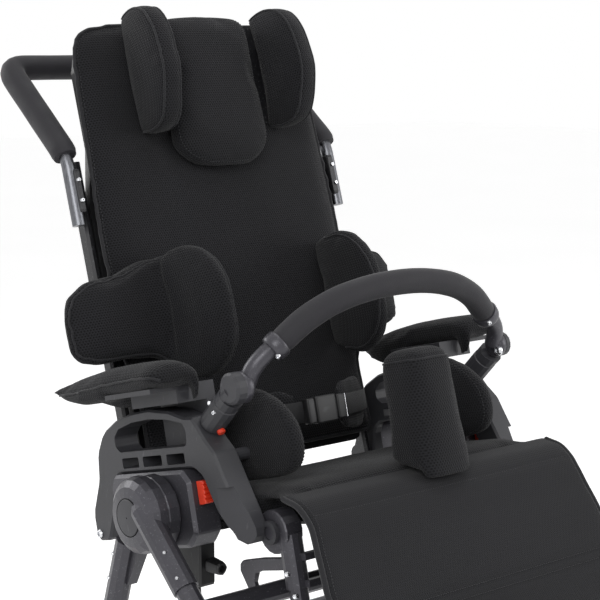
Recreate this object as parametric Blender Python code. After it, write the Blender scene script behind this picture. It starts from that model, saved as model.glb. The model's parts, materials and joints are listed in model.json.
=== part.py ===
"""Rehabilitation chair on a folding frame with four castors.

The chair faces -Y and +X is the sitter's left. The origin is on the floor.
Names ending in _R are on the sitter's right (-X) and _L on the left (+X).
"""
import math

import bmesh
import bpy
from mathutils import Matrix, Vector

# Main frames
HUB_Y = 0.0678
HUB_Z = 0.460
SEAT_TILT = 14.0
BACK_PIVOT = (0.1265, 0.005)
BACK_RECLINE = 3.4
LEG_PIVOT = (-0.142, -0.0345)
LEG_TUBE_Y = -0.0135

# Widths from the middle plane
SIDE_IN = 0.190
SIDE_OUT = 0.222
ADAPTER_IN = 0.1925
ADAPTER_OUT = 0.2312
KNUCKLE_IN = 0.2325
KNUCKLE_OUT = 0.2485
HUB_IN = 0.249
HUB_FACE = 0.2750
FRONT_LEG_X = 0.264
REAR_LEG_X = 0.246
BAR_X = 0.201
SEAT_HALF = 0.186
BACK_HALF = 0.1945
CALF_HALF = 0.204
LEG_TUBE_X = 0.1765
HIP_BACK = 0.1600

# Radii
HUB_RADIUS = 0.0435
SHAFT_RADIUS = 0.010
FRONT_TUBE = 0.0125
REAR_TUBE = 0.0138
SLEEVE = 0.0148
CROSS_TUBE = 0.0115
BAR_TUBE = 0.010
BAR_FOAM = 0.0143
SOCKET = 0.0150
KNUCKLE = {-1: 0.0175, 1: 0.0145}
KNUCKLE_OUTER = {-1: 0.0135, 1: 0.0090}
HANDLE_TUBE = 0.008
HANDLE_FOAM = 0.0155
LEG_TUBE = 0.0105
LEG_SLEEVE = 0.0128
EYE = 0.0130
FOOT_TUBE = 0.0082
PIVOT_PIN = 0.0070
PIVOT_BORE = 0.0074
GAP = 0.0004

# Castors
WHEEL_RADIUS = 0.048
WHEEL_HALF = 0.0125
TRAIL = 0.028
FORK_TOP = 0.115
LEG_END = 0.118
STEM = 0.0058
FRONT_CASTOR_Y = -0.3585
REAR_CASTOR_Y = 0.262
LEG_BEND_Z = -0.300

# Seat, nose and calf pad
SEAT_TOP = 0.011
SEAT_BOTTOM = -0.021
NOSE = 0.0525

COLOURS = {
    "graphite": ("#4a4a4e", 0.55, 0.38),
    "black_paint": ("#1b1b1d", 0.35, 0.45),
    "grey_plastic": ("#3a3a3c", 0.0, 0.55),
    "black_plastic": ("#161617", 0.0, 0.5),
    "red_plastic": ("#d8321a", 0.0, 0.4),
    "foam": ("#2e2e30", 0.0, 0.85),
    "mesh_fabric": ("#1d1d1f", 0.0, 0.95),
    "cover_fabric": ("#202022", 0.0, 0.92),
    "steel": ("#9a9ba0", 1.0, 0.3),
    "tyre": ("#202020", 0.0, 0.8),
}


def linear(value):
    """Linear light from one sRGB channel."""
    return value / 12.92 if value <= 0.04045 else ((value + 0.055) / 1.055) ** 2.4


def material(name):
    """The named material, made once."""
    found = bpy.data.materials.get(name)
    if found:
        return found
    code, metallic, rough = COLOURS[name]
    made = bpy.data.materials.new(name)
    made.use_nodes = True
    shader = made.node_tree.nodes["Principled BSDF"]
    rgb = [linear(int(code[i:i + 2], 16) / 255) for i in (1, 3, 5)]
    shader.inputs["Base Color"].default_value = (*rgb, 1.0)
    shader.inputs["Metallic"].default_value = metallic
    shader.inputs["Roughness"].default_value = rough
    return made


# Points and outlines

def circle(radius, count=16, phase=0.0):
    """Points on a circle round the origin of a plane."""
    step = 2 * math.pi / count
    return [(radius * math.cos(phase + i * step), radius * math.sin(phase + i * step))
            for i in range(count)]


def round_corners(points, radii, steps=4):
    """Replace each corner of a closed outline with an arc."""
    out = []
    count = len(points)
    if not isinstance(radii, (list, tuple)):
        radii = [radii] * count
    for i, radius in enumerate(radii):
        here = Vector(points[i])
        before = Vector(points[i - 1]) - here
        after = Vector(points[(i + 1) % count]) - here
        turn = before.angle(after)
        if radius <= 0 or turn > math.radians(176):
            out.append(tuple(here))
            continue
        reach = radius / math.tan(turn / 2)
        reach = min(reach, before.length * 0.49, after.length * 0.49)
        start = here + before.normalized() * reach
        end = here + after.normalized() * reach
        for k in range(steps + 1):
            t = k / steps
            point = start.lerp(here, t).lerp(here.lerp(end, t), t)
            out.append(tuple(point))
    return out


def smooth_loop(points, per=3):
    """A closed curve through the given points."""
    out = []
    count = len(points)
    for i in range(count):
        a, b, c, d = (Vector(points[(i + k) % count]) for k in (-1, 0, 1, 2))
        for k in range(per):
            t = k / per
            out.append(tuple(0.5 * (2 * b + (c - a) * t + (2 * a - 5 * b + 4 * c - d) * t * t
                                    + (3 * b - a - 3 * c + d) * t ** 3)))
    return out


def smooth_path(points, per=4):
    """An open curve through the given points."""
    points = [Vector(p) for p in points]
    ends = [points[0] * 2 - points[1], *points, points[-1] * 2 - points[-2]]
    out = []
    for i in range(1, len(ends) - 2):
        a, b, c, d = ends[i - 1:i + 3]
        for k in range(per):
            t = k / per
            out.append(0.5 * (2 * b + (c - a) * t + (2 * a - 5 * b + 4 * c - d) * t * t
                              + (3 * b - a - 3 * c + d) * t ** 3))
    out.append(points[-1])
    return out


def bent_path(points, radius, steps=5):
    """A polyline whose inner corners are arcs: one radius, or one for each corner."""
    points = [Vector(p) for p in points]
    radii = radius if isinstance(radius, (list, tuple)) else [radius] * (len(points) - 2)
    out = [points[0]]
    for i, size in enumerate(radii, start=1):
        here = points[i]
        before = points[i - 1] - here
        after = points[i + 1] - here
        turn = before.angle(after)
        reach = min(size / math.tan(turn / 2), before.length * 0.48, after.length * 0.48)
        start = here + before.normalized() * reach
        end = here + after.normalized() * reach
        for k in range(steps + 1):
            t = k / steps
            out.append(start.lerp(here, t).lerp(here.lerp(end, t), t))
    out.append(points[-1])
    return out


def grown(outline, distance):
    """The closed outline moved outwards (or inwards), its sides kept parallel."""
    count = len(outline)
    area = sum(outline[i - 1][0] * outline[i][1] - outline[i][0] * outline[i - 1][1]
               for i in range(count))
    sign = 1.0 if area > 0 else -1.0
    out = []
    for i in range(count):
        here = Vector(outline[i])
        before = (here - Vector(outline[i - 1])).normalized()
        after = (Vector(outline[(i + 1) % count]) - here).normalized()
        a = Vector((before.y, -before.x)) * sign
        b = Vector((after.y, -after.x)) * sign
        mitre = (a + b) / max(1.0 + a.dot(b), 0.5)
        out.append(tuple(here + mitre * distance))
    return out


# Solids

def add_mesh(name, verts, faces, colour):
    """A new object whose closed surface faces outwards."""
    mesh = bpy.data.meshes.new(name)
    mesh.from_pydata([tuple(v) for v in verts], [], faces)
    work = bmesh.new()
    work.from_mesh(mesh)
    bmesh.ops.recalc_face_normals(work, faces=work.faces)
    work.to_mesh(mesh)
    work.free()
    made = bpy.data.objects.new(name, mesh)
    bpy.context.scene.collection.objects.link(made)
    mesh.materials.append(material(colour))
    return made


def loft(name, rings, colour, closed=False):
    """Skin a row of rings, capped at both ends unless the row is closed."""
    size = len(rings[0])
    verts = [p for ring in rings for p in ring]
    faces = []
    rows = len(rings)
    for i in range(rows if closed else rows - 1):
        a = i * size
        b = (i + 1) % rows * size
        for k in range(size):
            n = (k + 1) % size
            faces.append((a + k, a + n, b + n, b + k))
    if not closed:
        faces.append(tuple(range(size)))
        faces.append(tuple(range((rows - 1) * size, rows * size)))
    return add_mesh(name, verts, faces, colour)


def prism(name, outline, x0, x1, colour, chamfer=0.0):
    """An outline in Y and Z carried along X, with chamfered ends."""
    rows = [(x0, 0.0), (x1, 0.0)]
    if chamfer:
        step = chamfer if x1 > x0 else -chamfer
        rows = [(x0, -chamfer), (x0 + step, 0.0), (x1 - step, 0.0), (x1, -chamfer)]
    rings = [[(x, y, z) for y, z in (grown(outline, grow) if grow else outline)]
             for x, grow in rows]
    return loft(name, rings, colour)


def stack(name, outline, z0, z1, colour, chamfer=0.0):
    """An outline in X and Y carried along Z."""
    rows = [(z0, -chamfer), (z0 + chamfer, 0.0), (z1 - chamfer, 0.0), (z1, -chamfer)]
    if not chamfer:
        rows = [(z0, 0.0), (z1, 0.0)]
    rings = [[(x, y, z) for x, y in (grown(outline, grow) if grow else outline)]
             for z, grow in rows]
    return loft(name, rings, colour)


def block(name, low, high, colour, chamfer=0.0):
    """A box between two corners."""
    outline = [(low[1], low[2]), (high[1], low[2]), (high[1], high[2]), (low[1], high[2])]
    if chamfer:
        outline = round_corners(outline, chamfer, 1)
    return prism(name, outline, low[0], high[0], colour, chamfer)


def turned(name, profile, colour, count=20, centre=(0.0, 0.0), closed=False):
    """A profile of radius and X turned round an X axis through the centre."""
    rings = [[(x, centre[0] + a, centre[1] + b) for a, b in circle(radius, count)]
             for radius, x in profile]
    return loft(name, rings, colour, closed)


def carried_frames(path):
    """Point and two cross directions at each stop of a path."""
    path = [Vector(p) for p in path]
    tangents = []
    for i in range(len(path)):
        a = path[max(i - 1, 0)]
        b = path[min(i + 1, len(path) - 1)]
        tangents.append((b - a).normalized())
    side = Vector((1.0, 0.0, 0.0))
    if abs(tangents[0].dot(side)) > 0.9:
        side = Vector((0.0, 0.0, 1.0))
    side = (side - tangents[0] * side.dot(tangents[0])).normalized()
    out = []
    for point, tangent in zip(path, tangents):
        side = (side - tangent * side.dot(tangent)).normalized()
        out.append((point, side, tangent.cross(side)))
    return out


def rod(name, path, radius, colour, count=12, bore=0.0):
    """A round bar or tube along a path."""
    frames = carried_frames(path)
    radii = radius if isinstance(radius, (list, tuple)) else [radius] * len(frames)

    def ring(frame, size):
        point, u, v = frame
        return [point + u * a + v * b for a, b in circle(size, count)]

    rings = [ring(frame, size) for frame, size in zip(frames, radii)]
    if bore:
        rings += [ring(frame, bore) for frame in reversed(frames)]
    return loft(name, rings, colour, closed=bool(bore))


def bar(name, path, section, colour):
    """A section carried along a path, its first axis kept near X."""
    rings = [[point + u * a + v * b for a, b in section] for point, u, v in carried_frames(path)]
    return loft(name, rings, colour)


def combine(target, others, operation):
    """Join other solids to the target or cut them from it."""
    for other in others:
        step = target.modifiers.new("step", "BOOLEAN")
        step.object = other
        step.operation = operation
        step.solver = "EXACT"
        graph = bpy.context.evaluated_depsgraph_get()
        mesh = bpy.data.meshes.new_from_object(target.evaluated_get(graph))
        target.modifiers.clear()
        old = target.data
        target.data = mesh
        bpy.data.meshes.remove(old)
        bpy.data.objects.remove(other)
    work = bmesh.new()
    work.from_mesh(target.data)
    bmesh.ops.remove_doubles(work, verts=work.verts, dist=0.00002)
    bmesh.ops.dissolve_degenerate(work, edges=work.edges, dist=0.00002)
    work.to_mesh(target.data)
    work.free()
    target.data.name = target.name
    keep = target.data.materials[0]
    target.data.materials.clear()
    target.data.materials.append(keep)
    target.data.polygons.foreach_set("material_index", [0] * len(target.data.polygons))
    return target


def join(target, *others):
    """Union of solids that run into each other."""
    return combine(target, others, "UNION")


def cut(target, *others):
    """Take the other solids away."""
    return combine(target, others, "DIFFERENCE")


# Soft pads: rings of one outline from the back to the crowned face

PUFF = ((0.86, 0.02), (0.96, 0.08), (1.0, 0.35), (1.0, 0.65), (0.955, 0.93), (0.86, 1.02),
        (0.6, 1.10), (0.28, 1.14))


def pad(name, outline, place, thick, colour, profile=PUFF, crown=1.0, centre=None):
    """A filled pad: place turns outline and height into a point."""
    count = len(outline)
    if centre is None:
        centre = (sum(p[0] for p in outline) / count, sum(p[1] for p in outline) / count)
    rings = []
    for scale, height in profile:
        level = height if height <= 1.0 else 1.0 + (height - 1.0) * crown
        rings.append([place(centre[0] + (u - centre[0]) * scale,
                            centre[1] + (v - centre[1]) * scale, level * thick)
                      for u, v in outline])
    return loft(name, rings, colour)


EDGE = ((1.0, -0.0050), (0.985, -0.0018), (0.93, 0.0))


def side_pad(name, outline, half, colour):
    """A side-view outline carried across the width, drawn in at both edges."""
    rows = [(-half * stop, grow) for stop, grow in EDGE]
    rows += [(half * stop, grow) for stop, grow in reversed(EDGE)]
    rings = [[(x, y, z) for y, z in grown(outline, grow)] for x, grow in rows]
    return loft(name, rings, colour)


def strip_pad(name, path, spans, half, colour, place, bulge=None):
    """A standing pad along a top-view path: each stop has its own low, high and bulge."""
    rings = []
    count = len(path)
    bulge = bulge or [1.0] * count
    for i, (point, (low, high)) in enumerate(zip(path, spans)):
        a = Vector(path[max(i - 1, 0)])
        b = Vector(path[min(i + 1, count - 1)])
        along = (b - a).normalized()
        side = Vector((along.y, -along.x))
        thick = half * (0.35 if i in (0, count - 1) else 0.82 if i in (1, count - 2) else 1.0)
        thick *= bulge[i]
        middle = (low + high) / 2
        tall = (high - low) / 2
        ring = []
        for u, v in ((0.55, -1.0), (0.9, -0.93), (1.0, -0.6), (1.06, 0.0), (1.0, 0.6),
                     (0.9, 0.93), (0.55, 1.0)):
            ring.append((u, v))
        ring += [(-u, v) for u, v in reversed(ring)]
        rings.append([place(*(Vector(point) + side * u * thick), middle + v * tall)
                      for u, v in ring])
    return loft(name, rings, colour)


# Tree of frames

FRAMES = {}


def frame(name, parent=None, at=(0.0, 0.0, 0.0), turn_x=0.0):
    """An empty on a joint axis or at a body's own origin."""
    made = bpy.data.objects.new(name, None)
    made.empty_display_size = 0.02
    bpy.context.scene.collection.objects.link(made)
    made.parent = parent
    made.location = at
    made.rotation_euler = (math.radians(turn_x), 0.0, 0.0)
    FRAMES[name] = made
    return made


def fit(piece, holder, start=(0.0, 0.0, 0.0)):
    """Hang a piece on a frame whose origin is the given point of the piece's space."""
    piece.data.transform(Matrix.Translation(-Vector(start)))
    piece.parent = holder
    piece.data.polygons.foreach_set("use_smooth", [True] * len(piece.data.polygons))
    piece.data.set_sharp_from_angle(angle=math.radians(38))
    return piece


def mirrored(side, points):
    """Points with X counted outwards on the given side."""
    return [(side * p[0], *p[1:]) for p in points]


# Folding base

LEG_DIRECTION = Vector((0.0, -0.743, -0.669)).normalized()
LEG_START = Vector((0.0, 0.0, 0.0228))


def leg_point(distance, side):
    """A point on the front leg's axis, measured from above the hub."""
    point = LEG_START + LEG_DIRECTION * distance
    return Vector((side * FRONT_LEG_X, point.y, point.z))


def hub_housing(side, tag):
    """Domed hub with its shaft and the sleeve for the front leg."""
    s = side
    profile = [(0.0092, 0.1945), (SHAFT_RADIUS, 0.1955), (SHAFT_RADIUS, HUB_IN),
               (HUB_RADIUS - 0.0015, HUB_IN), (HUB_RADIUS, HUB_IN + 0.0015),
               (HUB_RADIUS, HUB_FACE - 0.0145), (0.0408, HUB_FACE - 0.0073),
               (0.0338, HUB_FACE - 0.0022), (0.0210, HUB_FACE), (0.0090, HUB_FACE + 0.0008)]
    dome = turned("hub_housing_" + tag, [(r, s * x) for r, x in profile], "graphite")
    stops = [0.004, 0.010, 0.020, 0.1245]
    sleeve = rod("sleeve", [leg_point(d, s) for d in stops],
                 [0.004, 0.0115, SLEEVE, SLEEVE], "graphite", 14)
    join(dome, sleeve)
    bore = rod("bore", [leg_point(0.050, s), leg_point(0.140, s)], FRONT_TUBE + GAP, "graphite", 12)
    return cut(dome, bore)


def front_frame():
    """Both front legs and the tube that joins them."""
    legs = []
    for side in (-1, 1):
        x = side * FRONT_LEG_X
        path = bent_path([leg_point(0.0512, side), (x, FRONT_CASTOR_Y, LEG_BEND_Z),
                          (x, FRONT_CASTOR_Y, LEG_END - HUB_Z)], 0.055, 3)
        legs.append(rod("front_frame", path, FRONT_TUBE, "graphite", 12))
    cross = leg_point(0.1534, 1)
    tube = rod("cross", [(-FRONT_LEG_X, cross.y, cross.z), (FRONT_LEG_X, cross.y, cross.z)],
               CROSS_TUBE, "graphite", 12)
    whole = join(legs[0], tube, legs[1])
    whole.name = "front_frame"
    bores = [rod("bore", [(side * FRONT_LEG_X, FRONT_CASTOR_Y, LEG_END - HUB_Z - 0.01),
                          (side * FRONT_LEG_X, FRONT_CASTOR_Y, LEG_END - HUB_Z + 0.032)],
                 STEM + 0.0008, "graphite", 12) for side in (-1, 1)]
    return cut(whole, *bores)


def rear_frame():
    """Rear legs with the knuckles that turn on the hub shafts."""
    parts = []
    for side in (-1, 1):
        x = side * REAR_LEG_X
        path = bent_path([(x, 0.0440, -0.0407), (x, 0.087, -0.170),
                          (x, REAR_CASTOR_Y, LEG_BEND_Z),
                          (x, REAR_CASTOR_Y, LEG_END - HUB_Z)], 0.060, 3)
        parts.append(rod("rear_frame", path, REAR_TUBE, "graphite", 10))
        disc = turned("disc", [(0.0410, side * KNUCKLE_IN),
                               (0.0425, side * (KNUCKLE_IN + 0.0015)),
                               (0.0425, side * (KNUCKLE_OUT - 0.0015)),
                               (0.0410, side * KNUCKLE_OUT)], "graphite", 18)
        neck = prism("neck", [(0.004, -0.020), (0.036, -0.008), (0.071, -0.0860),
                              (0.045, -0.0950)],
                     side * (KNUCKLE_IN + 0.0012), side * (KNUCKLE_OUT - 0.0012), "graphite")
        parts += [disc, neck]
    tube = rod("cross", [(-REAR_LEG_X, 0.200, -0.2567), (REAR_LEG_X, 0.200, -0.2567)],
               CROSS_TUBE, "graphite", 12)
    whole = join(parts[0], parts[1], parts[2], tube, parts[3], parts[4], parts[5])
    whole.name = "rear_frame"
    cuts = []
    for side in (-1, 1):
        x = side * REAR_LEG_X
        cuts.append(turned("bore", [(SHAFT_RADIUS + GAP, side * 0.225),
                                    (SHAFT_RADIUS + GAP, side * 0.255)], "graphite"))
        cuts.append(rod("bore", [(x, REAR_CASTOR_Y, LEG_END - HUB_Z - 0.01),
                                 (x, REAR_CASTOR_Y, LEG_END - HUB_Z + 0.032)],
                        STEM + 0.0008, "graphite", 12))
    return cut(whole, *cuts)


def castor_fork(tag):
    """Swivel fork with its stem and axle, drawn about the swivel axis."""
    outline = round_corners([(-0.017, FORK_TOP), (0.020, FORK_TOP), (0.046, 0.100),
                             (0.045, 0.062), (0.036, 0.036), (0.020, 0.036),
                             (0.010, 0.062), (-0.017, 0.094)],
                            [0.004, 0.006, 0.008, 0.010, 0.007, 0.007, 0.010, 0.006], 1)
    fork = prism("castor_fork_" + tag, outline, -0.0205, 0.0205, "black_plastic")
    slot = block("slot", (-0.0155, -0.05, 0.0), (0.0155, 0.10, 0.1005), "black_plastic")
    cut(fork, slot)
    axle = turned("axle", [(0.0040, -0.018), (0.0040, 0.018)], "steel", 12,
                  (TRAIL, WHEEL_RADIUS))
    stem = rod("stem", [(0, 0, 0.105), (0, 0, 0.146)], STEM, "steel", 12)
    return join(fork, axle, stem)


def castor_wheel(tag):
    """Wheel with a rubber tread, drawn about its axle."""
    half = [(0.0046, 0.0112), (0.0345, 0.0112), (0.0355, WHEEL_HALF), (0.0440, WHEEL_HALF),
            (WHEEL_RADIUS, 0.0060)]
    profile = half + [(r, -x) for r, x in reversed(half)]
    return turned("castor_wheel_" + tag, profile, "tyre", closed=True)


def brake_pedal(tag):
    """Foot pedal behind the fork."""
    outline = round_corners([(0.0480, 0.0985), (0.0480, 0.1100), (0.0570, 0.1150),
                             (0.0890, 0.1215), (0.0905, 0.1170), (0.0600, 0.1060)],
                            0.002, 1)
    return prism("brake_pedal_" + tag, outline, -0.016, 0.016, "red_plastic", 0.0012)


# Seat unit, drawn in the seat's own space with the hub axis as origin

SIDE_OUTLINE = [(0.157, -0.034), (0.1575, 0.000), (0.135, 0.038), (0.129, 0.070),
                (0.111, 0.093), (0.080, 0.1055), (0.046, 0.1115), (0.010, 0.1130),
                (-0.030, 0.1080), (-0.057, 0.0995), (-0.0723, 0.0985), (-0.0900, 0.0735),
                (-0.104, 0.058), (-0.113, 0.036), (-0.127, 0.003), (-0.1335, -0.012),
                (-0.139, -0.030), (-0.135, -0.042), (-0.118, -0.044), (-0.112, -0.029),
                (-0.094, -0.006), (-0.0840, 0.015), (-0.077, 0.033), (-0.062, 0.0435),
                (0.088, 0.0435), (0.101, 0.034), (0.110, 0.000), (0.130, -0.034)]
SIDE_RADII = [0.006, 0.02, 0.02, 0.02, 0.02, 0.02, 0.02, 0.02, 0.02, 0.01, 0.0025, 0.0025,
              0.01, 0.02, 0.02, 0.02, 0.010, 0.010, 0.010, 0.02, 0.02, 0.02, 0.012, 0.010,
              0.006, 0.012, 0.02, 0.006]
ARM_TAPER = [(0.2225, -0.098), (0.2260, -0.098), (0.2260, -0.150), (0.2020, -0.150)]
WINDOW = [(0.0865, 0.0745), (0.0865, 0.0860), (0.0760, 0.0950), (0.0460, 0.1010),
          (0.0100, 0.1025), (-0.0260, 0.0995), (-0.0545, 0.0935), (-0.0585, 0.0840),
          (-0.0560, 0.0680), (0.0780, 0.0680)]
HIP_BOSS = (-0.0820, 0.0500)
SLOTS = ((0.0430, 0.0770), (-0.0040, 0.0340), (-0.0490, -0.0140))
SOCKET_BASE = Vector((0.0, -0.0805, 0.0880))
SOCKET_AXIS = Vector((0.0, -0.844, 0.5364)).normalized()
SOCKET_LENGTH = 0.037
PLUG_FROM = 0.0048
BUTTON_AT = 0.0075
BAR_PIVOT = (-0.1378, 0.1230)


def side_plate(side, tag):
    """Moulded side with a window, three slots and an eye for the leg rest's pivot."""
    s = side
    outline = round_corners(SIDE_OUTLINE, SIDE_RADII, 1)
    plate = prism("side_plate_" + tag, outline, s * SIDE_IN, s * SIDE_OUT, "grey_plastic", 0.0025)
    low, high = s * (SIDE_IN - 0.004), s * (SIDE_OUT + 0.004)
    cuts = [prism("window", round_corners(WINDOW, 0.006, 2), low, high, "grey_plastic")]
    for near, far in SLOTS:
        slot = [(near, 0.0490), (far, 0.0490), (far, 0.0610), (near, 0.0610)]
        cuts.append(prism("slot", round_corners(slot, 0.0015, 1), low, high, "grey_plastic"))
    cuts.append(turned("bore", [(PIVOT_BORE, low), (PIVOT_BORE, s * 0.2125)], "grey_plastic",
                       16, BACK_PIVOT))
    cuts.append(stack("taper", [(s * x, y) for x, y in ARM_TAPER], -0.06, 0.02,
                      "grey_plastic"))
    cut(plate, *cuts)
    boss = turned("boss", [(0.0070, s * (HIP_BACK + 0.0006)), (0.0070, s * 0.2000)],
                  "grey_plastic", 14, HIP_BOSS)
    eye = turned("eye", [(EYE, s * 0.1899), (EYE, s * 0.1948)], "grey_plastic", 18, LEG_PIVOT)
    join(plate, boss, eye)
    bore = turned("bore", [(PIVOT_BORE, low), (PIVOT_BORE, s * 0.1965)], "grey_plastic", 16,
                  LEG_PIVOT)
    return cut(plate, bore)


def seat_adapter(side, tag):
    """Boxy part on the hub shaft that the side plate stands on."""
    s = side
    outline = round_corners([(-0.062, 0.0300), (-0.050, 0.0430), (0.088, 0.0430),
                             (0.096, 0.0300), (0.096, -0.006), (0.050, -0.043),
                             (-0.045, -0.043), (-0.062, -0.027)],
                            [0.006, 0.006, 0.006, 0.006, 0.02, 0.02, 0.012, 0.008], 2)
    body = prism("seat_adapter_" + tag, outline, s * ADAPTER_IN, s * ADAPTER_OUT, "graphite",
                 0.004)
    bore = turned("bore", [(SHAFT_RADIUS + GAP, s * 0.18), (SHAFT_RADIUS + GAP, s * 0.24)],
                  "graphite")
    return cut(body, bore)


def release_lever(side, tag):
    """Ribbed red slider on the adapter's front face."""
    outline = [(-0.0625, 0.0030), (-0.0625, 0.0290), (-0.0680, 0.0290)]
    for i in range(5):
        top = 0.0285 - i * 0.0052
        outline += [(-0.0755, top - 0.0004), (-0.0755, top - 0.0028), (-0.0735, top - 0.0040)]
    outline.append((-0.0680, 0.0030))
    return prism("release_lever_" + tag, outline, side * 0.2100, side * 0.2215, "red_plastic",
                 0.0008)


KNOB_AT = (-0.0222, -0.0670)
KNOB_X = -0.180


def tilt_lock_housing():
    """Column under the right adapter with its two guide rods."""
    turn = Matrix.Rotation(math.radians(SEAT_TILT), 2)
    corners = [(0.024, -0.034), (0.024, -0.094), (-0.020, -0.094), (-0.020, -0.0265),
               (-0.012, -0.0225)]
    outline = round_corners([tuple(turn @ Vector(c)) for c in corners],
                            [0.003, 0.004, 0.004, 0.005, 0.004], 2)
    body = prism("tilt_lock_housing", outline, -0.1700, -0.1920, "black_plastic", 0.002)
    rods = []
    for y, x in ((0.010, -0.1760), (-0.008, -0.1860)):
        a = turn @ Vector((y, -0.080))
        b = turn @ Vector((y - 0.004, -0.135))
        rods.append(rod("guide", [(x, *a), (x, *b)], 0.0026, "black_plastic", 8))
    spindle = [turn @ Vector((-0.012, KNOB_AT[1])), turn @ Vector((KNOB_AT[0] - 0.019, KNOB_AT[1]))]
    rods.append(rod("spindle", [(KNOB_X, *p) for p in spindle], 0.0035, "steel", 10))
    return join(body, *rods)


def tilt_lock_knob():
    """Clamping knob on the column's spindle, drawn about its own axis along Y."""
    rings = []
    stops = [(-0.0002, 0.0042), (-0.0002, 0.0070), (-0.0040, 0.0090), (-0.0215, 0.0078),
             (-0.0235, 0.0060), (-0.0235, 0.0042)]
    for y, radius in stops:
        lobes = []
        for i in range(15):
            angle = 2 * math.pi * i / 15
            size = radius * (1.0 + (0.07 * math.cos(5 * angle) if radius > 0.0065 else 0.0))
            lobes.append((size * math.cos(angle), y, size * math.sin(angle)))
        rings.append(lobes)
    return loft("tilt_lock_knob", rings, "black_plastic", closed=True)


def seat_pan():
    """Plate under the cushion with tabs that reach the side plates."""
    half, tab = 0.164, 0.1920
    outline = [(-half, -0.150), (half, -0.150), (half, -0.058), (tab, -0.058), (tab, -0.040),
               (half, -0.040), (half, 0.062), (tab, 0.062), (tab, 0.090), (half, 0.090),
               (half, 0.108), (-half, 0.108), (-half, 0.090), (-tab, 0.090), (-tab, 0.062),
               (-half, 0.062), (-half, -0.040), (-tab, -0.040), (-tab, -0.058),
               (-half, -0.058)]
    plate = stack("seat_pan", outline, SEAT_BOTTOM - 0.0085, SEAT_BOTTOM - 0.0005,
                  "black_plastic", 0.0)
    ribs = []
    for x in (-0.085, 0.0, 0.085):
        ribs.append(block("rib", (x - 0.004, -0.135, SEAT_BOTTOM - 0.022),
                          (x + 0.004, 0.095, SEAT_BOTTOM - 0.004), "black_plastic"))
    return join(plate, *ribs)


def nose_arc(radius, start, end, steps, centre=LEG_PIVOT):
    """Points round the leg-rest axis: 0 degrees is forwards, 90 is up."""
    out = []
    for i in range(steps + 1):
        angle = math.radians(start + (end - start) * i / max(steps, 1))
        out.append((centre[0] - radius * math.cos(angle), centre[1] + radius * math.sin(angle)))
    return out


FLARE = [(0.176, -0.150), (0.1850, -0.150), (0.1900, -0.158), (0.1965, -0.169), (0.2010, -0.178),
         (0.2005, -0.1825), (0.176, -0.1830)]


def seat_cushion():
    """Seat pad whose front flares and rolls over the leg-rest axis."""
    outline = [(0.066, SEAT_TOP - 0.006), (0.060, SEAT_TOP), (0.0, SEAT_TOP),
               (-0.090, SEAT_TOP), (-0.130, 0.0102), (-0.160, 0.0094), (-0.1750, 0.0078),
               (-0.1825, 0.0035)]
    outline += nose_arc(NOSE, 36.0, -14.0, 5)
    outline += [(-0.1820, -0.0490), (-0.1740, -0.0410), (-0.1680, -0.0280),
                (-0.1600, SEAT_BOTTOM), (-0.090, SEAT_BOTTOM), (0.0, SEAT_BOTTOM),
                (0.060, SEAT_BOTTOM), (0.066, SEAT_BOTTOM + 0.006)]
    body = side_pad("seat_cushion", [(y, z) for y, z in reversed(outline)], SEAT_HALF,
                    "mesh_fabric")
    cuts = []
    flares = []
    for side in (-1, 1):
        under = [(-0.1165, -0.0015), (-0.1165, -0.090), (-0.220, -0.090), (-0.220, -0.0015)]
        cuts.append(prism("under", under, side * 0.1600, side * 0.23, "mesh_fabric"))
        flares.append(stack("flare", [(side * x, y) for x, y in FLARE], -0.0010, 0.0068,
                            "mesh_fabric", 0.002))
    cut(body, *cuts)
    return join(body, *flares)


def crossbar_socket(side, tag):
    """Sleeve on the side plate that takes the stem of the front bar."""
    x = side * BAR_X
    centre = Vector((x, SOCKET_BASE.y, SOCKET_BASE.z))
    top = centre + SOCKET_AXIS * SOCKET_LENGTH
    low = centre + SOCKET_AXIS * 0.0006
    body = rod("crossbar_socket_" + tag, [low, low + SOCKET_AXIS * 0.0012,
                                          top - SOCKET_AXIS * 0.0010, top],
               [SOCKET - 0.001, SOCKET, SOCKET, SOCKET - 0.001], "grey_plastic", 14)
    bore = rod("bore", [centre + SOCKET_AXIS * 0.0040, top + SOCKET_AXIS * 0.01],
               BAR_TUBE + GAP, "grey_plastic", 12)
    across = Vector((0.0, -SOCKET_AXIS.z, SOCKET_AXIS.y))
    middle = centre + SOCKET_AXIS * BUTTON_AT
    hole = rod("hole", [middle + across * 0.0112, middle + across * 0.020], 0.0050,
               "grey_plastic", 12)
    return cut(body, bore, hole)


def crossbar_button(side, tag):
    """Red push button on the socket, drawn about its own axis."""
    across = Vector((0.0, -SOCKET_AXIS.z, SOCKET_AXIS.y))
    start = across * 0.0138
    return rod("crossbar_button_" + tag,
               [start, start + across * 0.0034, start + across * 0.0044], [0.0046, 0.0046, 0.0034],
               "red_plastic", 12)


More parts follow.
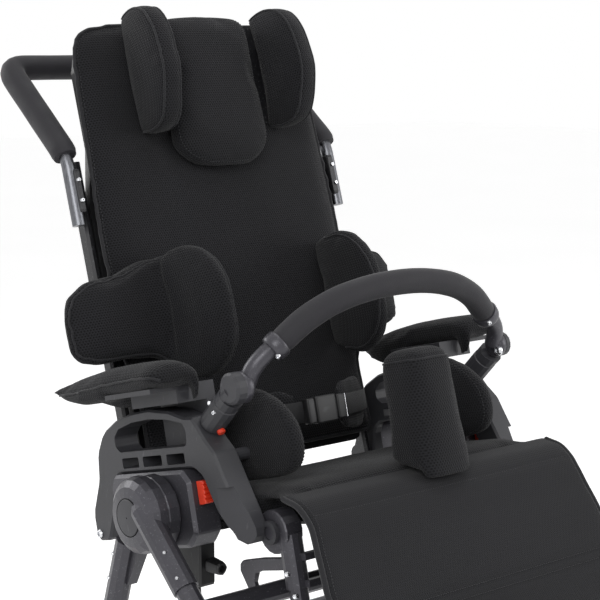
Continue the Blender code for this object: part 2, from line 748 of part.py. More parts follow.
def crossbar_stem(side, tag):
    """Plug in the socket with the outer half of the angle joint."""
    x = side * BAR_X
    centre = Vector((x, SOCKET_BASE.y, SOCKET_BASE.z))
    top = centre + SOCKET_AXIS * SOCKET_LENGTH
    plug = rod("crossbar_stem_" + tag, [centre + SOCKET_AXIS * PLUG_FROM, top + SOCKET_AXIS * 0.006],
               BAR_TUBE, "grey_plastic", 12)
    start = top + SOCKET_AXIS * 0.0008
    pivot = Vector((x, *BAR_PIVOT))
    outer = Vector((side * (BAR_X + KNUCKLE_OUTER[side] * 0.6), *BAR_PIVOT))
    body = rod("body", [start, start.lerp(pivot, 0.42)], [SOCKET - 0.0006, SOCKET - 0.0002],
               "grey_plastic", 14)
    arm = rod("arm", [start.lerp(pivot, 0.15) + Vector((side * 0.004, 0, 0)),
                      outer - SOCKET_AXIS * 0.004], [0.0105, 0.0072], "grey_plastic", 10)
    wide, reach = KNUCKLE[side], KNUCKLE_OUTER[side]
    disc = turned("disc", [(wide, side * (BAR_X + 0.0006)), (wide, side * (BAR_X + reach - 0.0025)),
                           (wide - 0.003, side * (BAR_X + reach))], "grey_plastic", 16, BAR_PIVOT)
    whole = join(plug, body, arm, disc)
    trim = turned("trim", [(KNUCKLE[-1] + 0.0012, side * (BAR_X - 0.020)),
                           (KNUCKLE[-1] + 0.0012, side * (BAR_X + 0.0006))], "grey_plastic", 16,
                  BAR_PIVOT)
    return cut(whole, trim)


ARCH = [(0.1905, 0.002), (0.1868, 0.0209), (0.1745, 0.0370), (0.1560, 0.0503), (0.127, 0.0745),
        (0.090, 0.0925), (0.045, 0.1025), (0.0, 0.1054)]
ARCH_UP = Vector((0.0, -0.555, 0.832)).normalized()
GRIP_FROM = 6


def arch_path():
    """Axis of the front bar from the right joint to the left one."""
    half = [(-u, v) for u, v in ARCH]
    whole = half + [(u, v) for u, v in reversed(ARCH[:-1])]
    base = Vector((0.0, *BAR_PIVOT))
    return smooth_path([base + Vector((u, 0, 0)) + ARCH_UP * v for u, v in whole], 2)


def crossbar_tube():
    """Bent tube with the inner joint halves and a collar at each end of the grip."""
    path = arch_path()
    tube = rod("crossbar_tube", path, BAR_TUBE, "graphite", 10)
    extras = []
    for side in (-1, 1):
        wide = KNUCKLE[side]
        extras.append(turned("disc", [(wide, side * (BAR_X + 0.0002)),
                                      (wide, side * (BAR_X - 0.0080)),
                                      (wide - 0.004, side * (BAR_X - 0.0115))], "graphite",
                             16, BAR_PIVOT))
    for inner, beyond in ((path[GRIP_FROM], path[GRIP_FROM + 1]),
                          (path[-1 - GRIP_FROM], path[-2 - GRIP_FROM])):
        along = (inner - beyond).normalized()
        start = inner + along * 0.0006
        extras.append(rod("collar", [start, start + along * 0.002, start + along * 0.0125,
                                     start + along * 0.0150],
                          [0.0152, 0.0160, 0.0150, 0.0125], "graphite", 12))
    return join(tube, *extras)


def crossbar_grip():
    """Foam over the middle of the front bar."""
    path = arch_path()[GRIP_FROM:-GRIP_FROM]
    return rod("crossbar_grip", path, BAR_FOAM, "foam", 10, bore=BAR_TUBE + GAP)


def armrest_bracket(side, tag):
    """Folded plate from inside the side plate to under the pad."""
    section = [(0.1765, 0.0560), (0.1890, 0.0560), (0.1890, 0.1160), (0.2280, 0.1160),
               (0.2280, 0.1305), (0.2620, 0.1305), (0.2620, 0.1360), (0.1765, 0.1360)]
    rings = [[(side * x, y, z) for x, z in section] for y in (-0.061, 0.030)]
    return loft("armrest_bracket_" + tag, rings, "grey_plastic")


ARM_BASE = 0.1366
ARM_SECTION = [(0.2140, 0.0), (0.2120, -0.0200), (0.2080, -0.0240), (0.2040, -0.0200),
               (0.2025, 0.0020), (0.2045, 0.0160), (0.2120, 0.0220), (0.2260, 0.0275),
               (0.2440, 0.0290), (0.2600, 0.0255), (0.2720, 0.0180), (0.2760, 0.0120),
               (0.2720, 0.0040), (0.2600, 0.0)]
ARM_MIDDLE = 0.2400
ARM_HIGH = 0.0290
ARM_STOPS = [(-0.0840, 0.62, 0.50, 0.35, 0.0, 0.0), (-0.0810, 0.80, 0.74, 0.80, 0.0, 0.0),
             (-0.0730, 0.94, 0.92, 0.97, 0.0, 0.0), (-0.0635, 1.0, 1.0, 1.0, 0.0, 0.0),
             (-0.0620, 1.0, 1.0, 0.0, 0.0, 0.0), (0.0310, 0.98, 0.95, 0.0, 0.0, 0.0),
             (0.0325, 0.98, 0.95, 0.75, -0.004, 0.0), (0.0800, 0.90, 0.80, 0.70, -0.007, 0.001),
             (0.1150, 0.70, 0.66, 0.40, -0.002, 0.004), (0.1380, 0.44, 0.60, 0.25, 0.006, 0.010),
             (0.1500, 0.22, 0.52, 0.15, 0.010, 0.014)]


def armrest_pad(side, tag):
    """Canoe-shaped pad with a skirt along its inner edge and a drawn-up rear tip."""
    rings = []
    for y, wide, tall, hang, lift, out in ARM_STOPS:
        rise = (tall * ARM_HIGH - lift) / ARM_HIGH
        ring = []
        for x, z in ARM_SECTION:
            reach = x - ARM_MIDDLE
            reach *= wide if reach > 0 else 0.6 + 0.4 * wide
            ring.append((ARM_MIDDLE + out + reach,
                         ARM_BASE + lift + z * (hang if z < 0 else rise)))
        rings.append([(side * x, y, z) for x, z in ring])
    return loft("armrest_pad_" + tag, rings, "mesh_fabric")


def hip_pad(side, tag):
    """Oval pad beside the thigh."""
    outline = smooth_loop([(0.012, 0.060), (0.006, 0.096), (-0.030, 0.119), (-0.082, 0.123),
                           (-0.128, 0.108), (-0.158, 0.078), (-0.163, 0.044), (-0.144, 0.021),
                           (-0.090, 0.0160), (-0.030, 0.0170), (0.002, 0.030)], 2)

    def place(u, v, w):
        return (side * (HIP_BACK - w), u, v)

    return pad("hip_pad_" + tag, outline, place, 0.026, "mesh_fabric", crown=0.5)


LEG_RAISE = 3.0
CALF = [((-0.1865, -0.0005), (-0.1882, 0.0048)), ((-0.1920, -0.0035), (-0.1995, 0.0010)),
        ((-0.2010, -0.0072), (-0.2090, -0.0025)), ((-0.2080, -0.0115), (-0.2160, -0.0072)),
        ((-0.2118, -0.0158), (-0.2215, -0.0118)), ((-0.2140, -0.0185), (-0.2225, -0.0152)),
        ((-0.2158, -0.0215), (-0.2265, -0.0185)), ((-0.2195, -0.0275), (-0.2300, -0.0260)),
        ((-0.2225, -0.0330), (-0.2335, -0.0360)), ((-0.2280, -0.0480), (-0.2380, -0.0520)),
        ((-0.2325, -0.0630), (-0.2440, -0.0670)), ((-0.2380, -0.0830), (-0.2500, -0.0860)),
        ((-0.2430, -0.1050), (-0.2555, -0.1080)), ((-0.2460, -0.1190), (-0.2575, -0.1205)),
        ((-0.2470, -0.1250), (-0.2545, -0.1255)), ((-0.2475, -0.1305), (-0.2585, -0.1312)),
        ((-0.2478, -0.1370), (-0.2550, -0.1375)), ((-0.2478, -0.1430), (-0.2590, -0.1440)),
        ((-0.2460, -0.1700), (-0.2590, -0.1720)), ((-0.2420, -0.2100), (-0.2560, -0.2120)),
        ((-0.2385, -0.2480), (-0.2515, -0.2500)), ((-0.2370, -0.2650), (-0.2470, -0.2690)),
        ((-0.2375, -0.2730), (-0.2420, -0.2760))]


def turned_point(point, centre, degrees, beyond):
    """A side-view point swung about a centre and moved away from it."""
    arm = Matrix.Rotation(math.radians(degrees), 2) @ (Vector(point) - Vector(centre))
    arm *= 1.0 + beyond / arm.length
    return tuple(Vector(centre) + arm)


def abduction_block():
    """Upright block at the front of the seat, hollowed to clear the calf pad."""
    rings = []
    rows = [(-0.030, 0.0), (0.020, 0.0), (0.070, -0.0015), (0.118, -0.003), (0.130, -0.006),
            (0.1365, -0.013), (0.1395, -0.021)]
    for z, grow in rows:
        lean = (0.130 - z) * 0.018
        corners = grown([(-0.042 - lean, -0.166), (-0.037 - lean, -0.240),
                         (0.037 + lean, -0.240), (0.042 + lean, -0.166)], grow)
        outline = round_corners(corners, [r + grow for r in (0.024, 0.028, 0.028, 0.024)], 4)
        rings.append([(x, y, z) for x, y in outline])
    body = loft("abduction_block", rings, "mesh_fabric")
    below = [(-0.150, SEAT_TOP + 0.0008), (-0.1780, SEAT_TOP + 0.0008)]
    below += [turned_point(point, LEG_PIVOT, -LEG_RAISE, 0.0012) for _, point in CALF[1:8]]
    below += [(-0.260, -0.030), (-0.260, -0.060), (-0.150, -0.060)]
    under = prism("under", below, -0.09, 0.09, "mesh_fabric")
    foot = block("foot", (-0.09, -0.30, -0.06), (0.09, -0.19, -0.0115), "mesh_fabric")
    return cut(body, under, foot)


BELT = [(-0.142, 0.066), (-0.122, 0.047), (-0.097, 0.024), (-0.070, 0.003), (-0.044, -0.013),
        (-0.030, -0.019)]


def belt_pad(side, tag):
    """Padded half of the pelvic belt."""
    path = mirrored(side, BELT)
    spans = [(0.060, 0.104), (0.050, 0.112), (0.046, 0.114), (0.046, 0.113), (0.050, 0.110),
             (0.060, 0.102)]

    def place(x, y, z):
        return (x, y, z)

    return strip_pad("belt_pad_" + tag, path, spans, 0.0052, "mesh_fabric", place)


def belt_buckle():
    """Webbing across the pads with a side-squeeze buckle in the middle."""
    half = [(-0.150, 0.064), (-0.1290, 0.0400), (-0.1030, 0.0160), (-0.0745, -0.0060),
            (-0.0460, -0.0230), (-0.0200, -0.0310), (0.0, -0.0330)]
    points = half + [(-x, y) for x, y in reversed(half[:-1])]
    rings = []
    count = len(points)
    for i, (x, y) in enumerate(points):
        a = Vector(points[max(i - 1, 0)])
        b = Vector(points[min(i + 1, count - 1)])
        along = (b - a).normalized()
        side = Vector((along.y, -along.x)) * 0.0010
        rings.append([(x + side.x * k, y + side.y * k, z)
                      for k, z in ((-1, 0.068), (1, 0.068), (1, 0.092), (-1, 0.092))])
    strap = loft("belt_buckle", rings, "black_plastic")
    outline = round_corners([(-0.030, -0.0385), (0.030, -0.0385), (0.030, -0.0275),
                             (-0.030, -0.0275)], 0.004, 2)
    body = stack("body", outline, 0.064, 0.096, "black_plastic", 0.002)
    return join(strap, body)


# Backrest, drawn in its own space with the recline axis as origin

HANDLE = [(0.2045, -0.0265, 0.334), (0.2045, -0.0265, 0.420), (0.2045, 0.0697, 0.5576)]
HANDLE_FROM = 3


def backrest_frame():
    """Uprights, cross bars and the saddles for the push handle."""
    section = round_corners([(-0.0052, -0.0095), (0.0052, -0.0095), (0.0052, 0.0095),
                             (-0.0052, 0.0095)], 0.003, 1)
    parts = []
    for side in (-1, 1):
        path = bent_path([(side * 0.1815, -0.0090, -0.010), (side * 0.1815, -0.0090, 0.118),
                          (side * 0.1855, -0.0090, 0.150), (side * 0.1855, -0.0090, 0.414)],
                         0.02, 2)
        post = bar("backrest_frame", path, section, "black_paint")
        disc = turned("disc", [(0.0125, side * 0.1763), (0.0125, side * 0.1867)], "black_paint",
                      16)
        pin = turned("pin", [(PIVOT_PIN, side * 0.180), (PIVOT_PIN, side * 0.2105)], "steel", 14)
        link = block("link", (side * 0.1875, -0.0180, 0.352), (side * 0.1975, -0.0102, 0.400),
                     "black_paint")
        clamp = prism("clamp", round_corners([(-0.0365, 0.348), (-0.0100, 0.348),
                                              (-0.0100, 0.402), (-0.0365, 0.402)], 0.004, 2),
                      side * 0.1958, side * 0.2040, "black_plastic", 0.0012)
        parts += [post, disc, pin, link, clamp]
    bars = [block("bar", (-0.186, -0.0080, z), (0.186, -0.0010, z + 0.022), "black_paint")
            for z in (0.030, 0.300)]
    whole = join(parts[0], *bars, *parts[1:])
    whole.name = "backrest_frame"
    bores = [rod("bore", [(side * HANDLE[0][0], HANDLE[0][1], 0.33),
                          (side * HANDLE[0][0], HANDLE[0][1], 0.44)],
                 HANDLE_TUBE + GAP, "black_paint", 14) for side in (-1, 1)]
    return cut(whole, *bores)


def backrest_shell():
    """Flat board behind the cushion with a slot for the headrest arm."""
    outline = round_corners([(-0.172, 0.020), (0.172, 0.020), (0.172, 0.120), (0.1795, 0.150),
                             (0.1795, 0.360), (0.165, 0.430), (0.165, 0.570), (-0.165, 0.570),
                             (-0.165, 0.430), (-0.1795, 0.360), (-0.1795, 0.150),
                             (-0.172, 0.120)],
                            [0.012, 0.012, 0.01, 0.01, 0.02, 0.02, 0.045, 0.045, 0.02, 0.02,
                             0.01, 0.01], 2)
    rings = [[(x, y, z) for x, z in outline] for y in (-0.0195, -0.0085)]
    shell = loft("backrest_shell", rings, "black_plastic")
    slot = block("slot", (-0.0165, -0.03, 0.450), (0.0165, 0.0, 0.562), "black_plastic")
    return cut(shell, slot)


def backrest_cushion():
    """Padded cover with a bound border, slotted behind the head pad."""
    half = [(0.184, 0.022, 0.012), (0.184, 0.118, 0.02), (0.193, 0.150, 0.02),
            (BACK_HALF, 0.330, 0.0), (0.1905, 0.450, 0.0), (0.1845, 0.5775, 0.05),
            (0.105, 0.5874, 0.0)]
    corners = [(x, z) for x, z, _ in half] + [(0.0, 0.5945)]
    corners += [(-x, z) for x, z, _ in reversed(half)]
    radii = [r for _, _, r in half] + [0.0] + [r for _, _, r in reversed(half)]
    rows = [(-0.0450, -0.0200), (-0.0170, -0.0200), (-0.0120, -0.0260), (-0.0045, -0.0340),
            (0.0, -0.0395), (-0.0060, -0.0448), (-0.0100, -0.0436), (-0.0160, -0.0464),
            (-0.0450, -0.0480)]
    rings = []
    for grow, y in rows:
        tight = [max(r + grow, 0.004) if r else 0.0 for r in radii]
        rings.append([(x, y, z) for x, z in round_corners(grown(corners, grow), tight, 3)])
    body = loft("backrest_cushion", rings, "mesh_fabric")
    slot = block("slot", (-0.0165, -0.08, 0.450), (0.0165, 0.0, 0.562), "mesh_fabric")
    return cut(body, slot)


def headrest_bar():
    """Bar behind the shell, arm through the slot and plate behind the pads."""
    upright = block("headrest_bar", (-0.0140, -0.0005, 0.400), (0.0140, 0.0050, 0.545),
                    "black_paint", 0.001)
    arm = block("arm", (-0.0140, -0.0505, 0.464), (0.0140, 0.0025, 0.494), "black_paint")
    plate = block("plate", (-0.0975, -0.0516, 0.445), (0.0975, -0.0490, 0.572), "black_paint")
    pins = [rod("pin", [(side * WING_AXIS[0], WING_AXIS[1], 0.475),
                        (side * WING_AXIS[0], WING_AXIS[1], 0.545)], 0.0022, "black_paint", 8)
            for side in (-1, 1)]
    return join(upright, arm, plate, *pins)


HEAD_PUFF = ((0.94, 0.0), (0.99, 0.07), (1.0, 0.3), (0.975, 0.64), (0.92, 0.84),
             (0.82, 0.95), (0.6, 1.03), (0.28, 1.07))


def headrest_pad():
    """Centre pad with a lower lobe for the nape."""
    half = [(0.030, 0.5845), (0.064, 0.5800), (0.0725, 0.555), (0.0727, 0.500),
            (0.0745, 0.440), (0.0715, 0.410), (0.0456, 0.389), (0.016, 0.385)]
    outline = smooth_loop(half + [(-x, z) for x, z in reversed(half)], 2)

    def place(u, v, w):
        return (u, -0.0520 - w, v)

    return pad("headrest_pad", outline, place, 0.030, "mesh_fabric", HEAD_PUFF, 0.8)


WING = [(-0.0552, 0.4325), (-0.0800, 0.4294), (-0.1010, 0.4305), (-0.1190, 0.4417),
        (-0.1320, 0.4690), (-0.1400, 0.4956), (-0.1385, 0.5200), (-0.1330, 0.5500),
        (-0.1150, 0.5790), (-0.0830, 0.5890), (-0.0552, 0.5840)]
WING_PUFF = ((0.93, 0.0), (0.98, 0.08), (1.0, 0.3), (1.0, 0.68), (0.975, 0.90), (0.90, 1.0),
             (0.6, 1.07), (0.28, 1.10))
WING_AXIS = (0.0985, -0.0516, 0.508)
WING_FLARE = 5.0
WING_THICK = 0.033


def headrest_wing(side, tag):
    """Side pad of the headrest, drawn about its upright hinge."""
    local = [(y - WING_AXIS[1], z - WING_AXIS[2]) for y, z in WING]
    outline = [tuple(p) for p in smooth_path(local, 2)]
    flare = math.radians(WING_FLARE)

    def place(u, v, w):
        x, y = w - WING_THICK / 2, u
        turned_x = x * math.cos(flare) - y * math.sin(flare)
        turned_y = x * math.sin(flare) + y * math.cos(flare)
        return (side * turned_x, turned_y, v)

    rear = (WING[0][0] - WING_AXIS[1], 0.0)
    return pad("headrest_wing_" + tag, outline, place, WING_THICK, "mesh_fabric", WING_PUFF,
               0.6, rear)


def lateral_pad(side, tag):
    """L-shaped pad: a leaf beside the arm and a rounded pad beside the trunk."""
    outer = {-1: (0.2725, 0.2640, 0.2380), 1: (0.2420, 0.2360, 0.2200)}[side]
    path = mirrored(side, [(outer[0], -0.0630), (outer[1], -0.0635), (outer[2], -0.0640),
                           (0.1950, -0.0640), (0.1600, -0.0640), (0.1330, -0.0690),
                           (0.1262, -0.0910), (0.1230, -0.1150), (0.1210, -0.1390),
                           (0.1198, -0.1600), (0.1193, -0.1730), (0.1190, -0.1785)])
    spans = [(0.180, 0.222), (0.168, 0.246), (0.160, 0.264), (0.159, 0.272), (0.156, 0.284),
             (0.140, 0.286), (0.128, 0.289), (0.123, 0.2895), (0.128, 0.281), (0.142, 0.262),
             (0.160, 0.240), (0.178, 0.216)]

    def place(x, y, z):
        return (x, y, z)

    bulge = [1.0] * len(path)
    bulge[5] = 1.5
    bulge[6] = 1.12
    return strip_pad("lateral_pad_" + tag, path, spans, 0.0130, "mesh_fabric", place, bulge)


def lateral_bracket(side, tag):
    """Flat bar round the edge of the backrest to the pad."""
    outline = [(0.080, 0.0012), (0.080, 0.0047), (0.2260, 0.0047), (0.2260, -0.0470),
               (0.2500, -0.0470), (0.2500, -0.0495), (0.2220, -0.0495), (0.2220, 0.0012)]
    rings = [[(side * x, y, z) for x, y in outline] for z in (0.208, 0.240)]
    return loft("lateral_bracket_" + tag, rings, "black_paint")


def handle_path():
    """Axis of the push handle from its right end to its left one."""
    right = [(-x, y, z) for x, y, z in HANDLE]
    left = list(reversed(HANDLE))
    return bent_path(right + left, (0.050, 0.024, 0.024, 0.050), 4)


def handle_bar():
    """Bent steel tube of the push handle."""
    return rod("handle_bar", handle_path(), HANDLE_TUBE, "steel", 10)


def handle_grip():
    """Foam over the upper part of the push handle."""
    path = handle_path()[HANDLE_FROM:-HANDLE_FROM]
    return rod("handle_grip", path, HANDLE_FOAM, "foam", 12, bore=HANDLE_TUBE + GAP)


# Leg rest, drawn in its own space with the elevation axis as origin

LADDER = (-0.0290, -0.0575, -0.0960, -0.2300)
FOOT_AXIS = (-0.1400, -0.3450)
ANGLE_ARM = [(-0.146, -0.0655), (-0.0903, -0.0657), (-0.0554, -0.0680), (-0.0460, -0.0750),
             (-0.0590, -0.1020), (-0.0620, -0.1060), (-0.0700, -0.1045), (-0.0720, -0.1010),
             (-0.0690, -0.0850), (-0.0850, -0.0800), (-0.146, -0.0790)]


def legrest_frame():
    """Two tubes with round pivot heads, cross bars and the angle arm on the right."""
    parts = []
    for side in (-1, 1):
        x = side * LEG_TUBE_X
        head = turned("legrest_frame", [(0.0225, side * 0.1655), (0.0240, side * 0.1670),
                                        (0.0240, side * 0.1875), (0.0225, side * 0.1890),
                                        (PIVOT_PIN, side * 0.1890), (PIVOT_PIN, side * 0.1935)],
                      "graphite", 18)
        sleeve = rod("sleeve", [(x, LEG_TUBE_Y, -0.004), (x, LEG_TUBE_Y, -0.062)], LEG_SLEEVE,
                     "graphite", 12)
        tube = rod("tube", [(x, LEG_TUBE_Y, -0.050), (x, LEG_TUBE_Y, -0.270)], LEG_TUBE,
                   "graphite", 12)
        parts += [head, sleeve, tube]
    front = LEG_TUBE_Y - 0.0205
    bars = [block("bar", (-LEG_TUBE_X, front, z - 0.0038), (LEG_TUBE_X, front + 0.012, z + 0.0038),
                  "black_paint") for z in LADDER]
    arm = [(y - LEG_PIVOT[0], z - LEG_PIVOT[1]) for y, z in ANGLE_ARM]
    bars.append(prism("arm", round_corners(arm, [0, 0.01, 0.006, 0.006, 0.004, 0.004, 0.004, 0.004,
                                                 0.01, 0.006, 0], 1),
                      -0.1640, -0.1705, "black_paint", 0.0008))
    whole = join(parts[0], parts[1], parts[2], *bars, parts[5], parts[4], parts[3])
    whole.name = "legrest_frame"
    bores = [rod("bore", [(side * LEG_TUBE_X, LEG_TUBE_Y, -0.14),
                          (side * LEG_TUBE_X, LEG_TUBE_Y, -0.30)],
                 FOOT_TUBE + GAP, "graphite", 12) for side in (-1, 1)]
    return cut(whole, *bores)


def calf_cushion():
    """Thin bound pad that curves from the seat's nose down the front of the leg rest."""
    rows = ((1.0, 0.42), (0.985, 0.12), (0.93, 0.0), (0.5, -0.06), (0.0, -0.08))
    rings = []
    for inner, outer in CALF:
        back = Vector(inner) - Vector(LEG_PIVOT)
        face = Vector(outer) - Vector(LEG_PIVOT)
        wide = CALF_HALF * (1.0 + 0.045 * min(max(-back.y / 0.06, 0.0), 1.0))
        ring = []
        for across, deep in rows:
            point = face.lerp(back, deep)
            ring.append((across * wide, point.x, point.y))
        ring += [(-x, y, z) for x, y, z in reversed(ring[:-1])]
        ring += [(x * wide, back.x, back.y) for x in (-0.98, 0.0, 0.98)]
        rings.append(ring)
    return loft("calf_cushion", rings, "cover_fabric")


def footplate_carrier():
    """Bent tube that slides in the leg-rest tubes and carries the footplate."""
    x, y = LEG_TUBE_X, LEG_TUBE_Y
    right = [(-x, y, -0.180), (-x, y, -0.296), (-x, FOOT_AXIS[0], FOOT_AXIS[1])]
    left = [(-a, b, c) for a, b, c in reversed(right)]
    return rod("footplate_carrier", bent_path(right + left, 0.026, 3), FOOT_TUBE, "steel", 12)


def footplate():
    """Plate hinged on the carrier's cross part, drawn about that axis."""
    outline = round_corners([(-0.145, -0.150), (0.145, -0.150), (0.135, 0.035),
                             (-0.135, 0.035)], [0.03, 0.03, 0.015, 0.015], 2)
    plate = stack("footplate", outline, 0.0095, 0.0195, "black_plastic", 0.002)
    lugs = [turned("lug", [(0.0135, x), (0.0135, x + 0.030)], "black_plastic", 16)
            for x in (-0.115, 0.085)]
    join(plate, *lugs)
    bore = turned("bore", [(FOOT_TUBE + 0.0006, -0.16), (FOOT_TUBE + 0.0006, 0.16)],
                  "black_plastic", 16)
    return cut(plate, bore)


def clear_scene():
    """Remove whatever the file starts with."""
    for old in list(bpy.data.objects):
        bpy.data.objects.remove(old)
    for old in list(bpy.data.meshes):
        bpy.data.meshes.remove(old)


def build_base():
    """Hub, front legs, folding rear legs and castors."""
    base = frame("base", at=(0.0, HUB_Y, HUB_Z))
    for side, tag in ((-1, "R"), (1, "L")):
        fit(hub_housing(side, tag), base)
    fit(front_frame(), base)
    rear = frame("rear_frame_axis", base)
    fit(rear_frame(), rear)
    for holder, across, back, row in ((base, FRONT_LEG_X, FRONT_CASTOR_Y, "F"),
                                      (rear, REAR_LEG_X, REAR_CASTOR_Y, "R")):
        for side, tag in ((-1, "R"), (1, "L")):
            name = row + tag
            swivel = frame("castor_swivel_" + name, holder, (side * across, back, -HUB_Z))
            fit(castor_fork(name), swivel)
            axle = frame("castor_axle_" + name, swivel, (0.0, TRAIL, WHEEL_RADIUS))
            fit(castor_wheel(name), axle)
            if row == "R":
                pedal = frame("brake_axis_" + name, swivel, (0.0, 0.050, 0.104))
                fit(brake_pedal(name), pedal, (0.0, 0.050, 0.104))
    return base


def build_seat(base):
    """Everything that tilts with the seat but keeps its place on it."""
    seat = frame("seat_tilt_axis", base, turn_x=-SEAT_TILT)
    for side, tag in ((-1, "R"), (1, "L")):
        fit(seat_adapter(side, tag), seat)
        fit(side_plate(side, tag), seat)
        fit(crossbar_socket(side, tag), seat)
        fit(hip_pad(side, tag), seat)
        fit(belt_pad(side, tag), seat)
        lever = frame("release_lever_slide_" + tag, seat, (side * 0.216, -0.0690, 0.0160))
        fit(release_lever(side, tag), lever, lever.location)
        middle = SOCKET_BASE + SOCKET_AXIS * BUTTON_AT
        push = frame("crossbar_button_slide_" + tag, seat, (side * BAR_X, middle.y, middle.z))
        fit(crossbar_button(side, tag), push)
        arm = frame("armrest_slide_" + tag, seat, (side * 0.182, -0.020, 0.100))
        fit(armrest_bracket(side, tag), arm, arm.location)
        fit(armrest_pad(side, tag), arm, arm.location)
    fit(seat_pan(), seat)
    fit(seat_cushion(), seat)
    fit(belt_buckle(), seat)
    fit(tilt_lock_housing(), seat)
    spot = Matrix.Rotation(math.radians(SEAT_TILT), 2) @ Vector(KNOB_AT)
    knob = frame("tilt_lock_knob_axis", seat, (KNOB_X, *spot), SEAT_TILT)
    fit(tilt_lock_knob(), knob)
    block_slide = frame("abduction_block_slide", seat, (0.0, -0.205, 0.060))
    fit(abduction_block(), block_slide, block_slide.location)
    return seat


def build_crossbar(seat):
    """Front bar: stems that lift out of the sockets and the bar on its angle joint."""
    pivot = {}
    for side, tag in ((-1, "R"), (1, "L")):
        lift = frame("crossbar_lift_" + tag, seat, (side * BAR_X, *BAR_PIVOT))
        fit(crossbar_stem(side, tag), lift, lift.location)
        pivot[tag] = lift
    centre = Vector((0.0, *BAR_PIVOT))
    angle = frame("crossbar_axis", pivot["R"], (BAR_X, 0.0, 0.0))
    fit(crossbar_tube(), angle, centre)
    fit(crossbar_grip(), angle, centre)


def build_backrest(seat):
    """Backrest with headrest, laterals and push handle."""
    back = frame("backrest_axis", seat, (0.0, *BACK_PIVOT), -BACK_RECLINE)
    fit(backrest_frame(), back)
    fit(backrest_shell(), back)
    fit(backrest_cushion(), back)
    head = frame("headrest_slide", back, (0.0, 0.0, 0.480))
    fit(headrest_bar(), head, head.location)
    fit(headrest_pad(), head, head.location)
    for side, tag in ((-1, "R"), (1, "L")):
        wing = frame("headrest_wing_axis_" + tag, head,
                     (side * WING_AXIS[0], WING_AXIS[1], WING_AXIS[2] - 0.480))
        fit(headrest_wing(side, tag), wing)
        slide = frame("lateral_slide_" + tag, back, (side * 0.150, 0.0, 0.224))
        fit(lateral_bracket(side, tag), slide, slide.location)
        fit(lateral_pad(side, tag), slide, slide.location)
    handle = frame("push_handle_slide", back, (0.0, HANDLE[0][1], 0.376))
    fit(handle_bar(), handle, handle.location)
    fit(handle_grip(), handle, handle.location)


def build_legrest(seat):
    """Leg rest, sliding carrier and hinged footplate."""
    leg = frame("legrest_axis", seat, (0.0, *LEG_PIVOT))
    fit(legrest_frame(), leg)
    fit(calf_cushion(), leg)
    slide = frame("footplate_slide", leg, (0.0, 0.0, -0.270))
    fit(footplate_carrier(), slide, slide.location)
    hinge = frame("footplate_axis", slide, (0.0, FOOT_AXIS[0], FOOT_AXIS[1] + 0.270))
    fit(footplate(), hinge)


def main():
    """Build the chair."""
    clear_scene()
    base = build_base()
    seat = build_seat(base)
    build_crossbar(seat)
    build_backrest(seat)
    build_legrest(seat)


main()
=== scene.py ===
import json
import math

import bmesh
import bpy
import numpy as np
from bpy.props import FloatProperty, PointerProperty
from mathutils import Matrix, Vector, noise
from mathutils.bvhtree import BVHTree


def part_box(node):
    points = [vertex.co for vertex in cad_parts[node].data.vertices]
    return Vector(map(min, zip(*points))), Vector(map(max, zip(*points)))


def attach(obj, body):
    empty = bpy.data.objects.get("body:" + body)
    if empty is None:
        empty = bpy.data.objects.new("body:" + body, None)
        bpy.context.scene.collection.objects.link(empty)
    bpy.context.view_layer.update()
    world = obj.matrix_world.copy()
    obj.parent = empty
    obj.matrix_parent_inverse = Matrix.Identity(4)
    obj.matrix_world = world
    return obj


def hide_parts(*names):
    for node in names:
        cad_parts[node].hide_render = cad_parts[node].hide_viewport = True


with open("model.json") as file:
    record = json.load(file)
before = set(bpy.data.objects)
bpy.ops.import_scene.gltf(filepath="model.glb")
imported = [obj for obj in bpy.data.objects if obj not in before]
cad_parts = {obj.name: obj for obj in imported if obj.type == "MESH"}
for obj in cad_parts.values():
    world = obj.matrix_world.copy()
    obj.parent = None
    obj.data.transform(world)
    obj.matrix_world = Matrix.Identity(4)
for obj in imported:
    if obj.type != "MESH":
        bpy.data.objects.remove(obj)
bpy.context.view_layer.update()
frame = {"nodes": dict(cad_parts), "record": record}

bl_info = {
    "name": "Rehabilitation Chair Dressing",
    "version": (1, 0, 0),
    "blender": (4, 5, 0),
    "location": "View3D > Sidebar > Chair",
    "description": "Dresses the packed rehabilitation chair: cushions, foam grips, castors, "
                   "fasteners, finishes and a studio",
    "category": "Object",
}

# Own spaces of the hubs, the tilting seat, the backrest and the leg rest, as in the part
HUB = Matrix.Translation((0.0, 0.0678, 0.460))
SEAT = HUB @ Matrix.Rotation(math.radians(-14.0), 4, "X")
BACK = (SEAT @ Matrix.Translation((0.0, 0.1265, 0.005))
        @ Matrix.Rotation(math.radians(-3.4), 4, "X"))
LEG = SEAT @ Matrix.Translation((0.0, -0.142, -0.0345))
SIDES = ((-1, "R"), (1, "L"))

# The photograph's camera, and how far its ray may pass a surface that it should meet
CAMERA_AT = (-1.243, -1.3802, 0.972)
CAMERA_TURN = (math.radians(81.15), 0.0, math.radians(-40.0))
LENS, SENSOR, FRAME_PIXELS = 97.7, 36.0, 600
NEAR_MISS = 0.012

# The covers' cloth, the wave left in its surface, and how many points a groove takes at once
PRESSURE, FRAMES, STIFFNESS = 4.0, 20, 15.0
RIPPLE, RIPPLE_SCALE = 0.0004, 22.0
POINTS_AT_ONCE = 4000

# The binding's stops and its lift in radii, and the thread's radius
CORD_STEP, CORD_LIFT = 0.004, 0.3
THREAD = 0.00045


# Points and paths

def circle(radius, count):
    """Points on a circle round the origin of a plane."""
    step = 2 * math.pi / count
    return [(radius * math.cos(i * step), radius * math.sin(i * step)) for i in range(count)]


